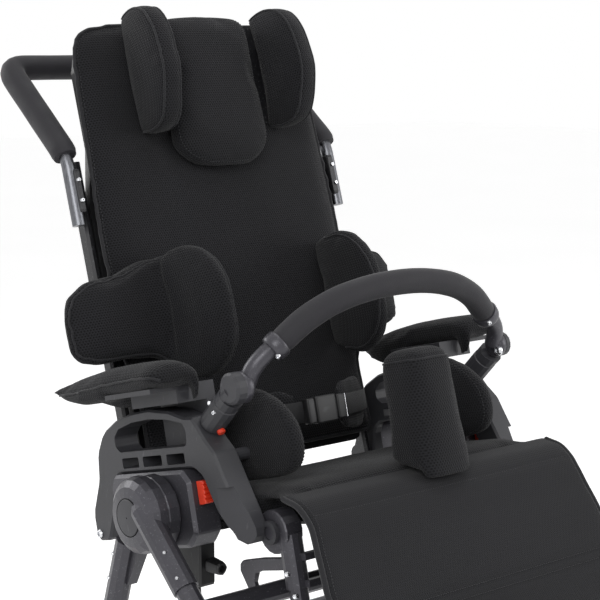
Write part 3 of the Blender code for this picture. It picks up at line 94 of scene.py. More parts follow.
def corner(before, here, after, radius, share, steps):
    """The arc that replaces a corner and takes at most a share of either side."""
    back, on = before - here, after - here
    reach = min(radius / math.tan(back.angle(on) / 2), back.length * share, on.length * share)
    start, end = here + back.normalized() * reach, here + on.normalized() * reach
    stops = [k / steps for k in range(steps + 1)]
    return [start.lerp(here, t).lerp(here.lerp(end, t), t) for t in stops]


def round_corners(points, radii, steps):
    """Replace each corner of a closed outline with an arc."""
    points = [Vector(p) for p in points]
    if not isinstance(radii, (list, tuple)):
        radii = [radii] * len(points)
    out = []
    for i, radius in enumerate(radii):
        three = points[i - 1], points[i], points[(i + 1) % len(points)]
        straight = (three[0] - three[1]).angle(three[2] - three[1]) > math.radians(178)
        out += [three[1]] if radius <= 0 or straight else corner(*three, radius, 0.49, steps)
    return [tuple(p) for p in out]


def smooth(points, per=4, closed=False):
    """A curve through the given points."""
    points = [Vector(p) for p in points]
    if closed:
        ends = [points[-1], *points, points[0], points[1]]
    else:
        ends = [points[0] * 2 - points[1], *points, points[-1] * 2 - points[-2]]
    out = []
    for i in range(1, len(ends) - 2):
        a, b, c, d = ends[i - 1:i + 3]
        for k in range(per):
            t = k / per
            out.append(0.5 * (2 * b + (c - a) * t + (2 * a - 5 * b + 4 * c - d) * t * t
                              + (3 * b - a - 3 * c + d) * t ** 3))
    return out if closed else out + [points[-1]]


def bent_path(points, radii, steps):
    """A polyline whose inner corners are arcs, one radius for each."""
    points = [Vector(p) for p in points]
    out = [points[0]]
    for i, radius in enumerate(radii):
        out += corner(*points[i:i + 3], radius, 0.48, steps)
    return out + [points[-1]]


def even(path, step, closed=False):
    """The same line with its points a given distance apart."""
    points = [Vector(p) for p in path]
    if closed:
        points.append(points[0])
    lengths = [0.0]
    for a, b in zip(points, points[1:]):
        lengths.append(lengths[-1] + (b - a).length)
    count = max(int(round(lengths[-1] / step)), 2)
    out = []
    k = 0
    for i in range(count if closed else count + 1):
        at = lengths[-1] * i / count
        while k < len(points) - 2 and lengths[k + 1] < at:
            k += 1
        span = max(lengths[k + 1] - lengths[k], 1e-9)
        out.append(points[k].lerp(points[k + 1], (at - lengths[k]) / span))
    return out


def grown(outline, distance):
    """The closed outline moved outwards or inwards."""
    count = len(outline)
    area = sum(outline[i - 1][0] * outline[i][1] - outline[i][0] * outline[i - 1][1]
               for i in range(count))
    sign = 1.0 if area > 0 else -1.0
    out = []
    for i in range(count):
        here = Vector(outline[i])
        before = (here - Vector(outline[i - 1])).normalized()
        after = (Vector(outline[(i + 1) % count]) - here).normalized()
        a = Vector((before.y, -before.x)) * sign
        b = Vector((after.y, -after.x)) * sign
        out.append(tuple(here + (a + b) / max(1.0 + a.dot(b), 0.5) * distance))
    return out


def placed(place, points):
    """Points of a piece's own space in the chair's frame."""
    return [place @ Vector(p) for p in points]


# Meshes

def linked(name, data):
    """A new object in the scene."""
    made = bpy.data.objects.new(name, data)
    bpy.context.scene.collection.objects.link(made)
    return made


def new_object(name, verts, faces, edges=()):
    """A new object whose closed surface faces outwards."""
    mesh = bpy.data.meshes.new(name)
    mesh.from_pydata([tuple(v) for v in verts], list(edges), faces)
    if faces:
        work = bmesh.new()
        work.from_mesh(mesh)
        bmesh.ops.recalc_face_normals(work, faces=work.faces)
        work.to_mesh(mesh)
        work.free()
    return linked(name, mesh)


def loft(name, rings, place=None, closed=False):
    """Skin a row of rings, capped at both ends unless the row is closed."""
    size, rows = len(rings[0]), len(rings)
    verts = [place @ Vector(p) if place else Vector(p) for ring in rings for p in ring]
    faces = []
    for i in range(rows if closed else rows - 1):
        a, b = i * size, (i + 1) % rows * size
        faces += [(a + k, a + (k + 1) % size, b + (k + 1) % size, b + k) for k in range(size)]
    if not closed:
        faces += [tuple(range(size)), tuple(range((rows - 1) * size, rows * size))]
    return new_object(name, verts, faces)


def carried(path, closed=False):
    """Point and two cross directions at each stop of a path."""
    path = [Vector(p) for p in path]
    count = len(path)
    tangents = []
    for i in range(count):
        a = path[i - 1] if closed or i else path[0]
        b = path[(i + 1) % count] if closed else path[min(i + 1, count - 1)]
        tangents.append((b - a).normalized())
    side = Vector((1.0, 0.0, 0.0))
    if abs(tangents[0].dot(side)) > 0.9:
        side = Vector((0.0, 0.0, 1.0))
    out = []
    for point, tangent in zip(path, tangents):
        side = (side - tangent * side.dot(tangent)).normalized()
        out.append((point, side, tangent.cross(side)))
    return out


def rod(name, path, radius, count=24, closed=False):
    """A round bar along a path, with one radius or one for each stop."""
    frames = carried(path, closed)
    radii = radius if isinstance(radius, (list, tuple)) else [radius] * len(frames)
    rings = [[p + u * a + v * b for a, b in circle(size, count)]
             for (p, u, v), size in zip(frames, radii)]
    return loft(name, rings, closed=closed)


def turned(name, profile, place, count=48, centre=(0.0, 0.0)):
    """A closed profile of radius and X turned round an X axis through the centre."""
    rings = [[(x, centre[0] + a, centre[1] + b) for a, b in circle(radius, count)]
             for radius, x in profile]
    return loft(name, rings, place, closed=True)


def baked(obj):
    """Put the result of the modifiers into the mesh."""
    graph = bpy.context.evaluated_depsgraph_get()
    mesh = bpy.data.meshes.new_from_object(obj.evaluated_get(graph))
    obj.modifiers.clear()
    old, obj.data = obj.data, mesh
    bpy.data.meshes.remove(old)
    obj.data.name = obj.name
    return obj


def joined(target, *others):
    """Join the other solids to the target."""
    for other in others:
        step = target.modifiers.new("step", "BOOLEAN")
        step.object, step.operation, step.solver = other, "UNION", "EXACT"
        baked(target)
        bpy.data.objects.remove(other)
    return target


def shade(obj, degrees=35.0):
    """Smooth shading, with the edges above an angle kept sharp if one is given."""
    obj.data.polygons.foreach_set("use_smooth", [True] * len(obj.data.polygons))
    if degrees:
        obj.data.set_sharp_from_angle(angle=math.radians(degrees))
    return obj


def bevelled(obj, width):
    """Break the sharp edges."""
    step = obj.modifiers.new("edge", "BEVEL")
    step.width, step.segments, step.limit_method = width, 2, "ANGLE"
    step.angle_limit = math.radians(35.0)
    step.use_clamp_overlap = True
    return baked(obj)


def cad_copy(name, node):
    """The CAD node's solid as a new object with its points merged."""
    work = bmesh.new()
    work.from_mesh(frame["nodes"][node].data)
    bmesh.ops.remove_doubles(work, verts=work.verts, dist=0.00003)
    mesh = bpy.data.meshes.new(name)
    work.to_mesh(mesh)
    work.free()
    return linked(name, mesh)


def finished(obj, body, finish, *replaced, slot=None):
    """Give a piece its material, its body and the CAD nodes that it stands for."""
    obj.data.materials.clear()
    obj.data.materials.append(material(finish))
    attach(obj, body)
    if replaced:
        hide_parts(*replaced)
    return obj


# Sewn goods

def gathered(items, key, width=1, kind=float):
    """One value of a mesh's points, loops or faces as an array."""
    out = np.zeros(len(items) * width, kind)
    items.foreach_get(key, out)
    return out.reshape(-1, width) if width > 1 else out


def coordinates(mesh):
    """The mesh's points as an array."""
    return gathered(mesh.vertices, "co", 3)


def outward(mesh):
    """The mesh's point normals as an array."""
    return gathered(mesh.vertices, "normal", 3)


def reshaped(obj, points):
    """Give the mesh's points new places."""
    obj.data.vertices.foreach_set("co", points.ravel())
    obj.data.update()
    return obj


def lay_weave(obj, place):
    """A map in metres from three sides of the piece's own space, for knit and woven cloth."""
    mesh = obj.data
    turn = np.array(place.inverted())
    co = coordinates(mesh) @ turn[:3, :3].T + turn[:3, 3]
    loops = gathered(mesh.loops, "vertex_index", kind=int)
    normals = np.abs(gathered(mesh.polygons, "normal", 3) @ turn[:3, :3].T)
    totals = gathered(mesh.polygons, "loop_total", kind=int)
    pairs = np.array(((1, 2), (0, 2), (0, 1)))[np.repeat(normals.argmax(1), totals)]
    uv = np.take_along_axis(co[loops], pairs, axis=1)
    layer = mesh.uv_layers.new(name="Weave")
    layer.data.foreach_set("uv", uv.astype(np.float32).ravel())


def surface_tree(*objects):
    """A search tree over the faces of some objects, in the chair's frame."""
    verts, faces = [], []
    for obj in objects:
        start = len(verts)
        verts += [v.co.copy() for v in obj.data.vertices]
        faces += [[start + i for i in p.vertices] for p in obj.data.polygons]
    return BVHTree.FromPolygons(verts, faces)


def settled(path, obj, lift=0.0):
    """The path laid on the piece's surface, lifted along the normal."""
    tree = surface_tree(obj)
    out = []
    for point in path:
        where, normal, _, _ = tree.find_nearest(Vector(point))
        out.append(where + normal * lift)
    return out


def groove(obj, path, depth, width, closed=False):
    """Press a sewn line into the surface along a path."""
    stops = np.array([tuple(p) for p in even(path, width * 0.4, closed)])
    co, normals = coordinates(obj.data), outward(obj.data)
    low, high = stops.min(0) - width * 2, stops.max(0) + width * 2
    near = np.where(np.all((co > low) & (co < high), axis=1))[0]
    for start in range(0, len(near), POINTS_AT_ONCE):
        some = near[start:start + POINTS_AT_ONCE]
        gap = np.sqrt(((co[some, None, :] - stops[None]) ** 2).sum(2).min(1))
        fall = np.exp(-(gap / width) ** 2)
        fall[gap > width * 2.2] = 0.0
        co[some] -= normals[some] * (depth * fall)[:, None]
    return reshaped(obj, co)


def softened(obj, passes, factor=0.5):
    """Relax the surface."""
    work = bmesh.new()
    work.from_mesh(obj.data)
    for _ in range(passes):
        bmesh.ops.smooth_vert(work, verts=work.verts, factor=factor, use_axis_x=True,
                              use_axis_y=True, use_axis_z=True)
    work.to_mesh(obj.data)
    work.free()
    return obj


def swell(obj, cap):
    """Fill the cover: simulated cloth under pressure, held within a distance of its cut."""
    cloth = obj.modifiers.new("cloth", "CLOTH")
    settings = cloth.settings
    settings.quality = 4
    settings.use_pressure = True
    settings.uniform_pressure_force = PRESSURE
    settings.effector_weights.gravity = 0.0
    settings.tension_stiffness = settings.compression_stiffness = STIFFNESS
    settings.shear_stiffness = 5.0
    settings.bending_stiffness = 0.5
    cloth.point_cache.frame_start, cloth.point_cache.frame_end = 1, FRAMES
    start = coordinates(obj.data)
    scene = bpy.context.scene
    for step in range(1, FRAMES + 1):
        scene.frame_set(step)
    graph = bpy.context.evaluated_depsgraph_get()
    offset = coordinates(obj.evaluated_get(graph).data) - start
    obj.modifiers.clear()
    scene.frame_set(1)
    length = np.linalg.norm(offset, axis=1)[:, None]
    return reshaped(obj, start + offset * np.minimum(1.0, cap / np.maximum(length, 1e-9)))


def pad(name, node, voxel=0.0045, cap=0.004, shrink=0.0016, passes=6):
    """A stuffed cover from the CAD solid: remeshed, filled and given a soft, wavy surface."""
    made = cad_copy(name, node)
    step = made.modifiers.new("remesh", "REMESH")
    step.mode, step.voxel_size = "VOXEL", voxel
    softened(baked(made), passes)
    reshaped(made, coordinates(made.data) - outward(made.data) * shrink)
    swell(made, cap)
    softened(made, 2, 0.3)
    step = made.modifiers.new("smooth", "SUBSURF")
    step.levels = step.render_levels = 1
    co, normals = coordinates(baked(made).data), outward(made.data)
    wave = np.array([noise.noise(Vector(point) * RIPPLE_SCALE) for point in co])
    return shade(reshaped(made, co + normals * (RIPPLE * wave)[:, None]), None)


def stuffed(obj, place, body, node, finish="spacer_mesh_knit", slot="mesh_fabric"):
    """Lay the cloth's map on a cover, and give it its finish, body and CAD node."""
    lay_weave(obj, place)
    finished(obj, body, finish, node, slot=slot)


def piping(name, path, radius, body, obj=None, closed=True):
    """A bound cord sewn round an edge."""
    line = even(path, CORD_STEP, closed)
    if obj:
        line = even(settled(line, obj, radius * CORD_LIFT), CORD_STEP, closed)
    made = shade(rod(name, line, radius, 10, closed), 60.0)
    finished(made, body, "bound_tape", slot="mesh_fabric")


# Shader nodes

def tint(code):
    """Linear colour from an sRGB hex value."""
    values = [int(code[i:i + 2], 16) / 255 for i in (1, 3, 5)]
    return (*[v / 12.92 if v <= 0.04045 else ((v + 0.055) / 1.055) ** 2.4 for v in values], 1.0)


def node(tree, kind, links=None, values=None, **settings):
    """A node with its settings, fixed inputs and links."""
    made = tree.nodes.new(kind)
    for key, value in settings.items():
        setattr(made, key, value)
    for key, value in (values or {}).items():
        made.inputs[key].default_value = value
    for key, source in (links or {}).items():
        tree.links.new(source, made.inputs[key])
    return made


def start_material(name, **sockets):
    """A material with the fixed values of its sockets, its tree and its place on the object."""
    made = bpy.data.materials.new(name)
    made.use_nodes = True
    tree = made.node_tree
    for key, value in sockets.items():
        tree.nodes["Principled BSDF"].inputs[key.replace("_", " ")].default_value = value
    return made, tree, node(tree, "ShaderNodeTexCoord").outputs["Object"]


def surfaced(made, colour, rough, height=None, distance=0.0, strength=1.0):
    """Link a material's colour, roughness and bump, whose distance is in metres."""
    tree = made.node_tree
    shader = tree.nodes["Principled BSDF"].inputs
    tree.links.new(colour, shader["Base Color"])
    tree.links.new(rough, shader["Roughness"])
    if height is not None:
        bump = node(tree, "ShaderNodeBump", {"Height": height},
                    {"Distance": distance, "Strength": strength})
        tree.links.new(bump.outputs["Normal"], shader["Normal"])
    return made


def blotches(tree, where, scale, detail=3.0, rough=0.55):
    """Slow variation over the surface."""
    return node(tree, "ShaderNodeTexNoise", {"Vector": where},
                {"Scale": scale, "Detail": detail, "Roughness": rough}).outputs["Fac"]


def streaks(tree, where, detail, **mapping):
    """Variation drawn out by a mapping."""
    drawn = node(tree, "ShaderNodeMapping", {"Vector": where}, mapping).outputs[0]
    return node(tree, "ShaderNodeTexNoise", {"Vector": drawn},
                {"Scale": 1.0, "Detail": detail}).outputs["Fac"]


def waves(tree, where, way, **values):
    """Bands across the given way."""
    return node(tree, "ShaderNodeTexWave", {"Vector": where}, values, wave_type="BANDS",
                bands_direction=way).outputs["Fac"]


def spread(tree, source, low, high, start=0.3, end=0.7):
    """A source between 0 and 1 mapped to a range of values."""
    return node(tree, "ShaderNodeMapRange", {"Value": source},
                {"From Min": start, "From Max": end, "To Min": low, "To Max": high})\
        .outputs["Result"]


def mixed(tree, factor, first, second):
    """Two colours mixed by a factor: each a hex value or a socket."""
    made = node(tree, "ShaderNodeMix", {0: factor}, data_type="RGBA")
    for key, value in ((6, first), (7, second)):
        if isinstance(value, str):
            made.inputs[key].default_value = tint(value)
        else:
            tree.links.new(value, made.inputs[key])
    return made.outputs[2]


def maths(tree, operation, first, second=0.0, third=0.0):
    """One sum on sockets or numbers."""
    made = node(tree, "ShaderNodeMath", operation=operation)
    for key, value in enumerate((first, second, third)):
        if isinstance(value, (int, float)):
            made.inputs[key].default_value = value
        else:
            tree.links.new(value, made.inputs[key])
    return made.outputs[0]


def holes(tree, pitch):
    """Distance from the nearest mesh hole on a hexagonal grid, in holes: 0 in its middle."""
    def done(operation, source, *second):
        return node(tree, "ShaderNodeVectorMath", {0: source}, dict(enumerate(second, start=1)),
                    operation=operation).outputs

    uv = node(tree, "ShaderNodeUVMap", uv_map="Weave").outputs["UV"]
    ratio = math.sqrt(3.0)
    grid = done("MULTIPLY", uv, (1.0 / pitch, 1.0 / (pitch * ratio), 0.0))[0]
    found = []
    for shift in (0.0, 0.5):
        cell = done("FRACTION", done("ADD", grid, (shift, shift, 0.0))[0])[0]
        centred = done("SUBTRACT", cell, (0.5, 0.5, 0.0))[0]
        found.append(done("LENGTH", done("MULTIPLY", centred, (1.0, ratio, 0.0))[0])["Value"])
    return maths(tree, "MINIMUM", *found)


# Materials

def knitted(name, pitch, band, patch_scale, tones, rough, fluff, bump, **sockets):
    """A knit with a grid of holes: tones of a hole, of the face's patches and of its fibres."""
    made, tree, where = start_material(name, **sockets)
    yarn = spread(tree, holes(tree, pitch), 0.0, 1.0, *band)
    fibre = blotches(tree, where, 2600.0, 2.0)
    patch = spread(tree, blotches(tree, where, patch_scale), 0.0, 1.0)
    face = mixed(tree, spread(tree, fibre, 0.0, 0.5), mixed(tree, patch, *tones[1:3]), tones[3])
    return surfaced(made, mixed(tree, yarn, tones[0], face), spread(tree, fibre, *rough),
                    maths(tree, "MULTIPLY_ADD", fibre, fluff, yarn), *bump)


def spacer_mesh_knit():
    """Polyester spacer mesh, warp-knitted: hexagonal holes 3.4 mm apart over a dull face."""
    return knitted("spacer_mesh_knit", settings().mesh_pitch, (0.16, 0.40), 9.0,
                   ("#0c0c0d", "#1d1d1f", "#232326", "#2a2a2d"), (0.82, 0.97), 0.18,
                   (0.0007, 0.8), Sheen_Weight=0.10, Sheen_Roughness=0.45,
                   Specular_IOR_Level=0.18)


def woven_cover():
    """Fine-knit polyester cover: small holes 2.6 mm apart, a little smoother."""
    return knitted("woven_cover", 0.0026, (0.10, 0.42), 7.0,
                   ("#151516", "#1c1c1e", "#222225", "#2c2c2f"), (0.8, 0.95), 0.2,
                   (0.0004, 0.7), Sheen_Weight=0.08, Sheen_Roughness=0.5,
                   Specular_IOR_Level=0.2)


def bound_tape():
    """Polyester binding tape sewn over an edge: close diagonal twill, darker than the mesh."""
    made, tree, where = start_material("bound_tape", Sheen_Weight=0.15, Sheen_Roughness=0.4,
                                       Specular_IOR_Level=0.25)
    twill = waves(tree, where, "DIAGONAL", Scale=260.0, Distortion=1.2, Detail=1.0)
    return surfaced(made, mixed(tree, twill, "#19191b", "#2a2a2d"),
                    spread(tree, twill, 0.7, 0.85, 0.0, 1.0), twill, 0.0003, 0.6)


def polyester_webbing():
    """Polyester webbing, woven in ribs along the strap, slightly glossy."""
    made, tree, where = start_material("polyester_webbing", Sheen_Weight=0.1,
                                       Specular_IOR_Level=0.3)
    both = maths(tree, "MULTIPLY", waves(tree, where, "X", Scale=220.0, Distortion=0.3),
                 waves(tree, where, "Z", Scale=360.0))
    return surfaced(made, mixed(tree, both, "#161617", "#2d2d30"),
                    spread(tree, both, 0.6, 0.75, 0.0, 1.0), both, 0.0004, 0.7)


def sewing_thread():
    """Bonded nylon thread, twisted: slightly glossy dark strands."""
    made, tree, where = start_material("sewing_thread", Specular_IOR_Level=0.4)
    twist = waves(tree, where, "DIAGONAL", Scale=700.0)
    return surfaced(made, mixed(tree, twist, "#1c1c1e", "#3a3a3d"),
                    spread(tree, twist, 0.45, 0.6, 0.0, 1.0))


def closed_cell_foam():
    """Closed-cell rubber foam sleeve, extruded: matt with fine pores and a soft highlight."""
    made, tree, where = start_material("closed_cell_foam", Sheen_Weight=0.12,
                                       Sheen_Roughness=0.35, Specular_IOR_Level=0.35)
    pores = node(tree, "ShaderNodeTexVoronoi", {"Vector": where}, {"Scale": 900.0}).outputs[0]
    skin = blotches(tree, where, 60.0, 5.0)
    face = mixed(tree, spread(tree, skin, 0.0, 1.0), "#1f1e22", "#29282c")
    colour = mixed(tree, spread(tree, pores, 0.0, 1.0, 0.05, 0.3), "#1d1d1f", face)
    return surfaced(made, colour, spread(tree, skin, 0.62, 0.78),
                    maths(tree, "MULTIPLY_ADD", skin, 0.6, pores), 0.00035, 0.5)


def coated(name, low, high, metallic, rough):
    """Powder coat: fine orange peel, faint clouding and dust of a lighter tone."""
    made, tree, where = start_material(name, Metallic=metallic)
    peel = blotches(tree, where, 1500.0, 3.0, 0.6)
    dust = spread(tree, blotches(tree, where, 420.0, 2.0), 0.0, 1.0, 0.62, 0.72)
    face = mixed(tree, spread(tree, blotches(tree, where, 14.0), 0.0, 1.0), low, high)
    face = mixed(tree, maths(tree, "MULTIPLY", dust, 0.35), face, "#8a8a8f")
    return surfaced(made, face, spread(tree, peel, rough - 0.05, rough + 0.07), peel, 0.00012,
                    0.35)


def powder_coated_tube():
    """Graphite powder coat on aluminium tube and castings: satin with a metallic fleck."""
    return coated("powder_coated_tube", "#3b3a3f", "#45444a", 0.35, 0.36)


def black_powder_coat():
    """Black powder coat on steel flats and tube."""
    return coated("black_powder_coat", "#1b1b1d", "#242427", 0.2, 0.42)


def moulded(name, low, high, rough, grain, depth, shine=0.4):
    """Injection-moulded plastic: spark-eroded grain, faint flow clouding and scuffs."""
    made, tree, where = start_material(name, Specular_IOR_Level=shine)
    skin = blotches(tree, where, grain, 2.0, 0.5)
    cloud = blotches(tree, where, 11.0, 4.0)
    scuff = streaks(tree, where, 4.0, Scale=(30.0, 260.0, 60.0), Rotation=(0.4, 0.2, 0.7))
    marks = maths(tree, "MULTIPLY", spread(tree, scuff, 0.0, 1.0, 0.64, 0.76), 0.25)
    face = mixed(tree, marks, mixed(tree, spread(tree, cloud, 0.0, 1.0), low, high), "#77777b")
    return surfaced(made, face, spread(tree, skin, rough - 0.06, rough + 0.08), skin, depth, 0.4)


def glass_filled_nylon():
    """Glass-filled nylon, moulded with a fine grain: dark grey and matt."""
    return moulded("glass_filled_nylon", "#303033", "#39393d", 0.5, 1100.0, 0.00012)


def moulded_polypropylene():
    """Polypropylene, moulded: black, a little glossier than nylon."""
    return moulded("moulded_polypropylene", "#171718", "#202022", 0.44, 1200.0, 0.0001)


def red_acetal():
    """Acetal, moulded and dyed signal red: smooth and waxy."""
    made, tree, where = start_material("red_acetal", Specular_IOR_Level=0.5)
    cloud = blotches(tree, where, 90.0)
    return surfaced(made, mixed(tree, spread(tree, cloud, 0.0, 1.0), "#d23119", "#e2452a"),
                    spread(tree, cloud, 0.32, 0.42), blotches(tree, where, 1500.0), 0.00008, 0.3)


def brushed(name, low, high, rough):
    """Metal with fine lines from brushing or turning."""
    made, tree, where = start_material(name, Metallic=1.0, Anisotropic=0.35)
    lines = streaks(tree, where, 3.0, Scale=(900.0, 900.0, 40.0))
    return surfaced(made, mixed(tree, spread(tree, lines, 0.0, 1.0), low, high),
                    spread(tree, lines, rough - 0.06, rough + 0.08), lines, 0.00005, 0.3)


def satin_stainless_steel():
    """Stainless tube, belt-polished: pale metal with lengthwise lines."""
    return brushed("satin_stainless_steel", "#5a5b5f", "#75767a", 0.34)


def zinc_plated_steel():
    """Zinc-plated screws and rivets, cold formed: bright with a faint haze."""
    return brushed("zinc_plated_steel", "#b9babd", "#d6d7da", 0.22)


def polyurethane_tread():
    """Cast polyurethane tyre: matt dark grey with dust worked into its skin."""
    made, tree, where = start_material("polyurethane_tread", Specular_IOR_Level=0.3)
    dust = blotches(tree, where, 45.0, 6.0, 0.7)
    face = mixed(tree, spread(tree, dust, 0.0, 0.6, 0.45, 0.75), "#1d1d1e", "#4c4b4a")
    return surfaced(made, face, spread(tree, dust, 0.6, 0.85), blotches(tree, where, 1000.0),
                    0.0002, 0.5)


def painted_gap_shade():
    """The painted shade of a parting line: a dark ring of moulded plastic where only shade falls.
    """
    return moulded("painted_gap_shade", "#0a0a0b", "#111112", 0.8, 900.0, 0.0001, 0.1)


def material(name):
    """The named material, made once."""
    return bpy.data.materials.get(name) or FINISHES[name]()


FINISHES = {made.__name__: made for made in (
    spacer_mesh_knit, woven_cover, bound_tape, polyester_webbing, sewing_thread,
    closed_cell_foam, powder_coated_tube, black_powder_coat, glass_filled_nylon,
    moulded_polypropylene, red_acetal, satin_stainless_steel, zinc_plated_steel,
    polyurethane_tread, painted_gap_shade)}
SLOT_FINISH = {
    "graphite": "powder_coated_tube", "black_paint": "black_powder_coat",
    "grey_plastic": "glass_filled_nylon", "black_plastic": "moulded_polypropylene",
    "red_plastic": "red_acetal", "foam": "closed_cell_foam", "mesh_fabric": "spacer_mesh_knit",
    "cover_fabric": "woven_cover", "steel": "satin_stainless_steel",
    "tyre": "polyurethane_tread"}


# Geometry Nodes

def node_tree(name, *inputs):
    """An empty geometry tree with named inputs: (name, socket type, default)."""
    tree = bpy.data.node_groups.new(name, "GeometryNodeTree")
    tree.interface.new_socket("Geometry", in_out="INPUT", socket_type="NodeSocketGeometry")
    for label, kind, value in inputs:
        socket = tree.interface.new_socket(label, in_out="INPUT", socket_type=kind)
        if value is not None:
            socket.default_value = value
    tree.interface.new_socket("Geometry", in_out="OUTPUT", socket_type="NodeSocketGeometry")
    return tree, node(tree, "NodeGroupInput").outputs, node(tree, "NodeGroupOutput")


def laid_out(tree, given, result, points, piece, facing, size):
    """End a tree: its piece on every point, turned, sized and painted, as one mesh."""
    turn = node(tree, "FunctionNodeAlignRotationToVector", {"Vector": facing}, axis="Z")
    laid = node(tree, "GeometryNodeInstanceOnPoints",
                {"Points": points, "Instance": piece, "Rotation": turn.outputs[0], "Scale": size})
    real = node(tree, "GeometryNodeRealizeInstances", {"Geometry": laid.outputs[0]})
    paint = node(tree, "GeometryNodeSetMaterial",
                 {"Geometry": real.outputs[0], "Material": given["Material"]})
    tree.links.new(paint.outputs[0], result.inputs[0])
    return tree


def stitch_tree():
    """Stitches of one length laid along an edge line."""
    tree, given, result = node_tree(
        "sewn_stitches", ("Pitch", "NodeSocketFloat", 0.004), ("Length", "NodeSocketFloat", 0.003),
        ("Thread", "NodeSocketFloat", 0.0004), ("Material", "NodeSocketMaterial", None))
    line = node(tree, "GeometryNodeMeshToCurve", {"Mesh": given["Geometry"]})
    stops = node(tree, "GeometryNodeResampleCurve",
                 {"Curve": line.outputs[0], "Length": given["Pitch"]}, mode="LENGTH")
    along = node(tree, "GeometryNodeInputTangent")
    half = node(tree, "ShaderNodeMath", {0: given["Length"]}, {1: 0.5}, operation="MULTIPLY")
    size = node(tree, "ShaderNodeCombineXYZ", {"X": given["Thread"], "Y": given["Thread"],
                                               "Z": half.outputs[0]})
    bead = node(tree, "GeometryNodeMeshIcoSphere", values={"Radius": 1.0, "Subdivisions": 1})
    return laid_out(tree, given, result, stops.outputs[0], bead.outputs["Mesh"],
                    along.outputs[0], size.outputs[0])


def fastener_tree():
    """Round screw heads with a hexagon socket on points that know which way they face."""
    tree, given, result = node_tree(
        "screw_heads", ("Head Height", "NodeSocketFloat", 0.0016),
        ("Socket Share", "NodeSocketFloat", 0.5), ("Material", "NodeSocketMaterial", None))
    height = given["Head Height"]
    lifted = node(tree, "ShaderNodeCombineXYZ", {"Z": height}).outputs[0]

    def raised(solid, share):
        lift = node(tree, "ShaderNodeVectorMath", {0: lifted}, {"Scale": share},
                    operation="SCALE")
        return node(tree, "GeometryNodeTransform", {"Geometry": solid.outputs["Mesh"],
                                                    "Translation": lift.outputs[0]}).outputs[0]

    shank = node(tree, "GeometryNodeMeshCylinder", {"Depth": height},
                 {"Vertices": 24, "Radius": 1.0})
    dome = node(tree, "GeometryNodeMeshCone", {"Depth": height},
                {"Vertices": 24, "Radius Bottom": 1.0, "Radius Top": 0.72})
    key = node(tree, "GeometryNodeMeshCylinder",
               {"Radius": given["Socket Share"], "Depth": height}, {"Vertices": 6})
    whole = node(tree, "GeometryNodeMeshBoolean", operation="UNION", solver="EXACT")
    tree.links.new(shank.outputs["Mesh"], whole.inputs["Mesh 2"])
    tree.links.new(raised(dome, 0.5), whole.inputs["Mesh 2"])
    head = node(tree, "GeometryNodeMeshBoolean",
                {"Mesh 1": whole.outputs[0], "Mesh 2": raised(key, 1.3)},
                operation="DIFFERENCE", solver="EXACT")
    facing = node(tree, "GeometryNodeInputNamedAttribute", values={"Name": "facing"},
                  data_type="FLOAT_VECTOR").outputs[0]
    radius = node(tree, "GeometryNodeInputNamedAttribute", values={"Name": "head_radius"},
                  data_type="FLOAT").outputs[0]
    size = node(tree, "ShaderNodeCombineXYZ", {"X": radius, "Y": radius}, {"Z": 1.0})
    points = node(tree, "GeometryNodeMeshToPoints", {"Mesh": given["Geometry"]})
    return laid_out(tree, given, result, points.outputs[0], head.outputs[0], facing,
                    size.outputs[0])


def grown_by(obj, make_tree, label, finish, **values):
    """Run a geometry tree, made once, on an object and keep the result as a plain mesh."""
    step = obj.modifiers.new("made", "NODES")
    step.node_group = bpy.data.node_groups.get(label) or make_tree()
    named = {item.name: item.identifier for item in step.node_group.interface.items_tree
             if item.in_out == "INPUT"}
    step[named["Material"]] = material(finish)
    for key, value in values.items():
        step[named[key.replace("_", " ")]] = value
    return baked(obj)


def stitches(name, path, body, obj, closed=False, pitch=0.0042, length=0.0030):
    """A row of stitches along a path, laid on a piece."""
    line = settled(even(path, 0.003, closed), obj, THREAD * 0.6)
    edges = [(i, i + 1) for i in range(len(line) - 1)] + ([(len(line) - 1, 0)] if closed else [])
    made = new_object(name, line, [], edges)
    grown_by(made, stitch_tree, "sewn_stitches", "sewing_thread", Pitch=pitch, Length=length,
             Thread=THREAD)
    finished(made, body, "sewing_thread", slot="mesh_fabric")


def seen_at(px, py, *nodes):
    """Where the camera's ray through a pixel meets some CAD nodes, with the normal there."""
    half = SENSOR / 2 / LENS
    middle = FRAME_PIXELS / 2
    turn = Matrix.Rotation(CAMERA_TURN[2], 3, "Z") @ Matrix.Rotation(CAMERA_TURN[0], 3, "X")
    ray = turn @ Vector(((px - middle) / middle * half, (middle - py) / middle * half, -1.0))
    tree = surface_tree(*[frame["nodes"][n] for n in nodes])
    start, along = Vector(CAMERA_AT), ray.normalized()
    where, normal, _, _ = tree.ray_cast(start, along)
    if where is None:
        stops = [start + along * (1.0 + 0.002 * i) for i in range(900)]
        where, normal, _, gap = min((tree.find_nearest(stop) for stop in stops),
                                    key=lambda found: found[3])
        if gap > NEAR_MISS:
            raise RuntimeError(f"no surface of {nodes} at pixel {px}, {py}: {gap:.3f} m")
    return where, normal


def spots_seen(pixels, radius, *nodes):
    """The place, direction and radius of a fastener at each pixel."""
    return [(*seen_at(px, py, *nodes), radius) for px, py in pixels]


def on_both_sides(spots):
    """Each spot and its mirror image."""
    return [(Vector((side * where.x, where.y, where.z)),
             Vector((side * normal.x, normal.y, normal.z)), radius)
            for where, normal, radius in spots for side in (1, -1)]


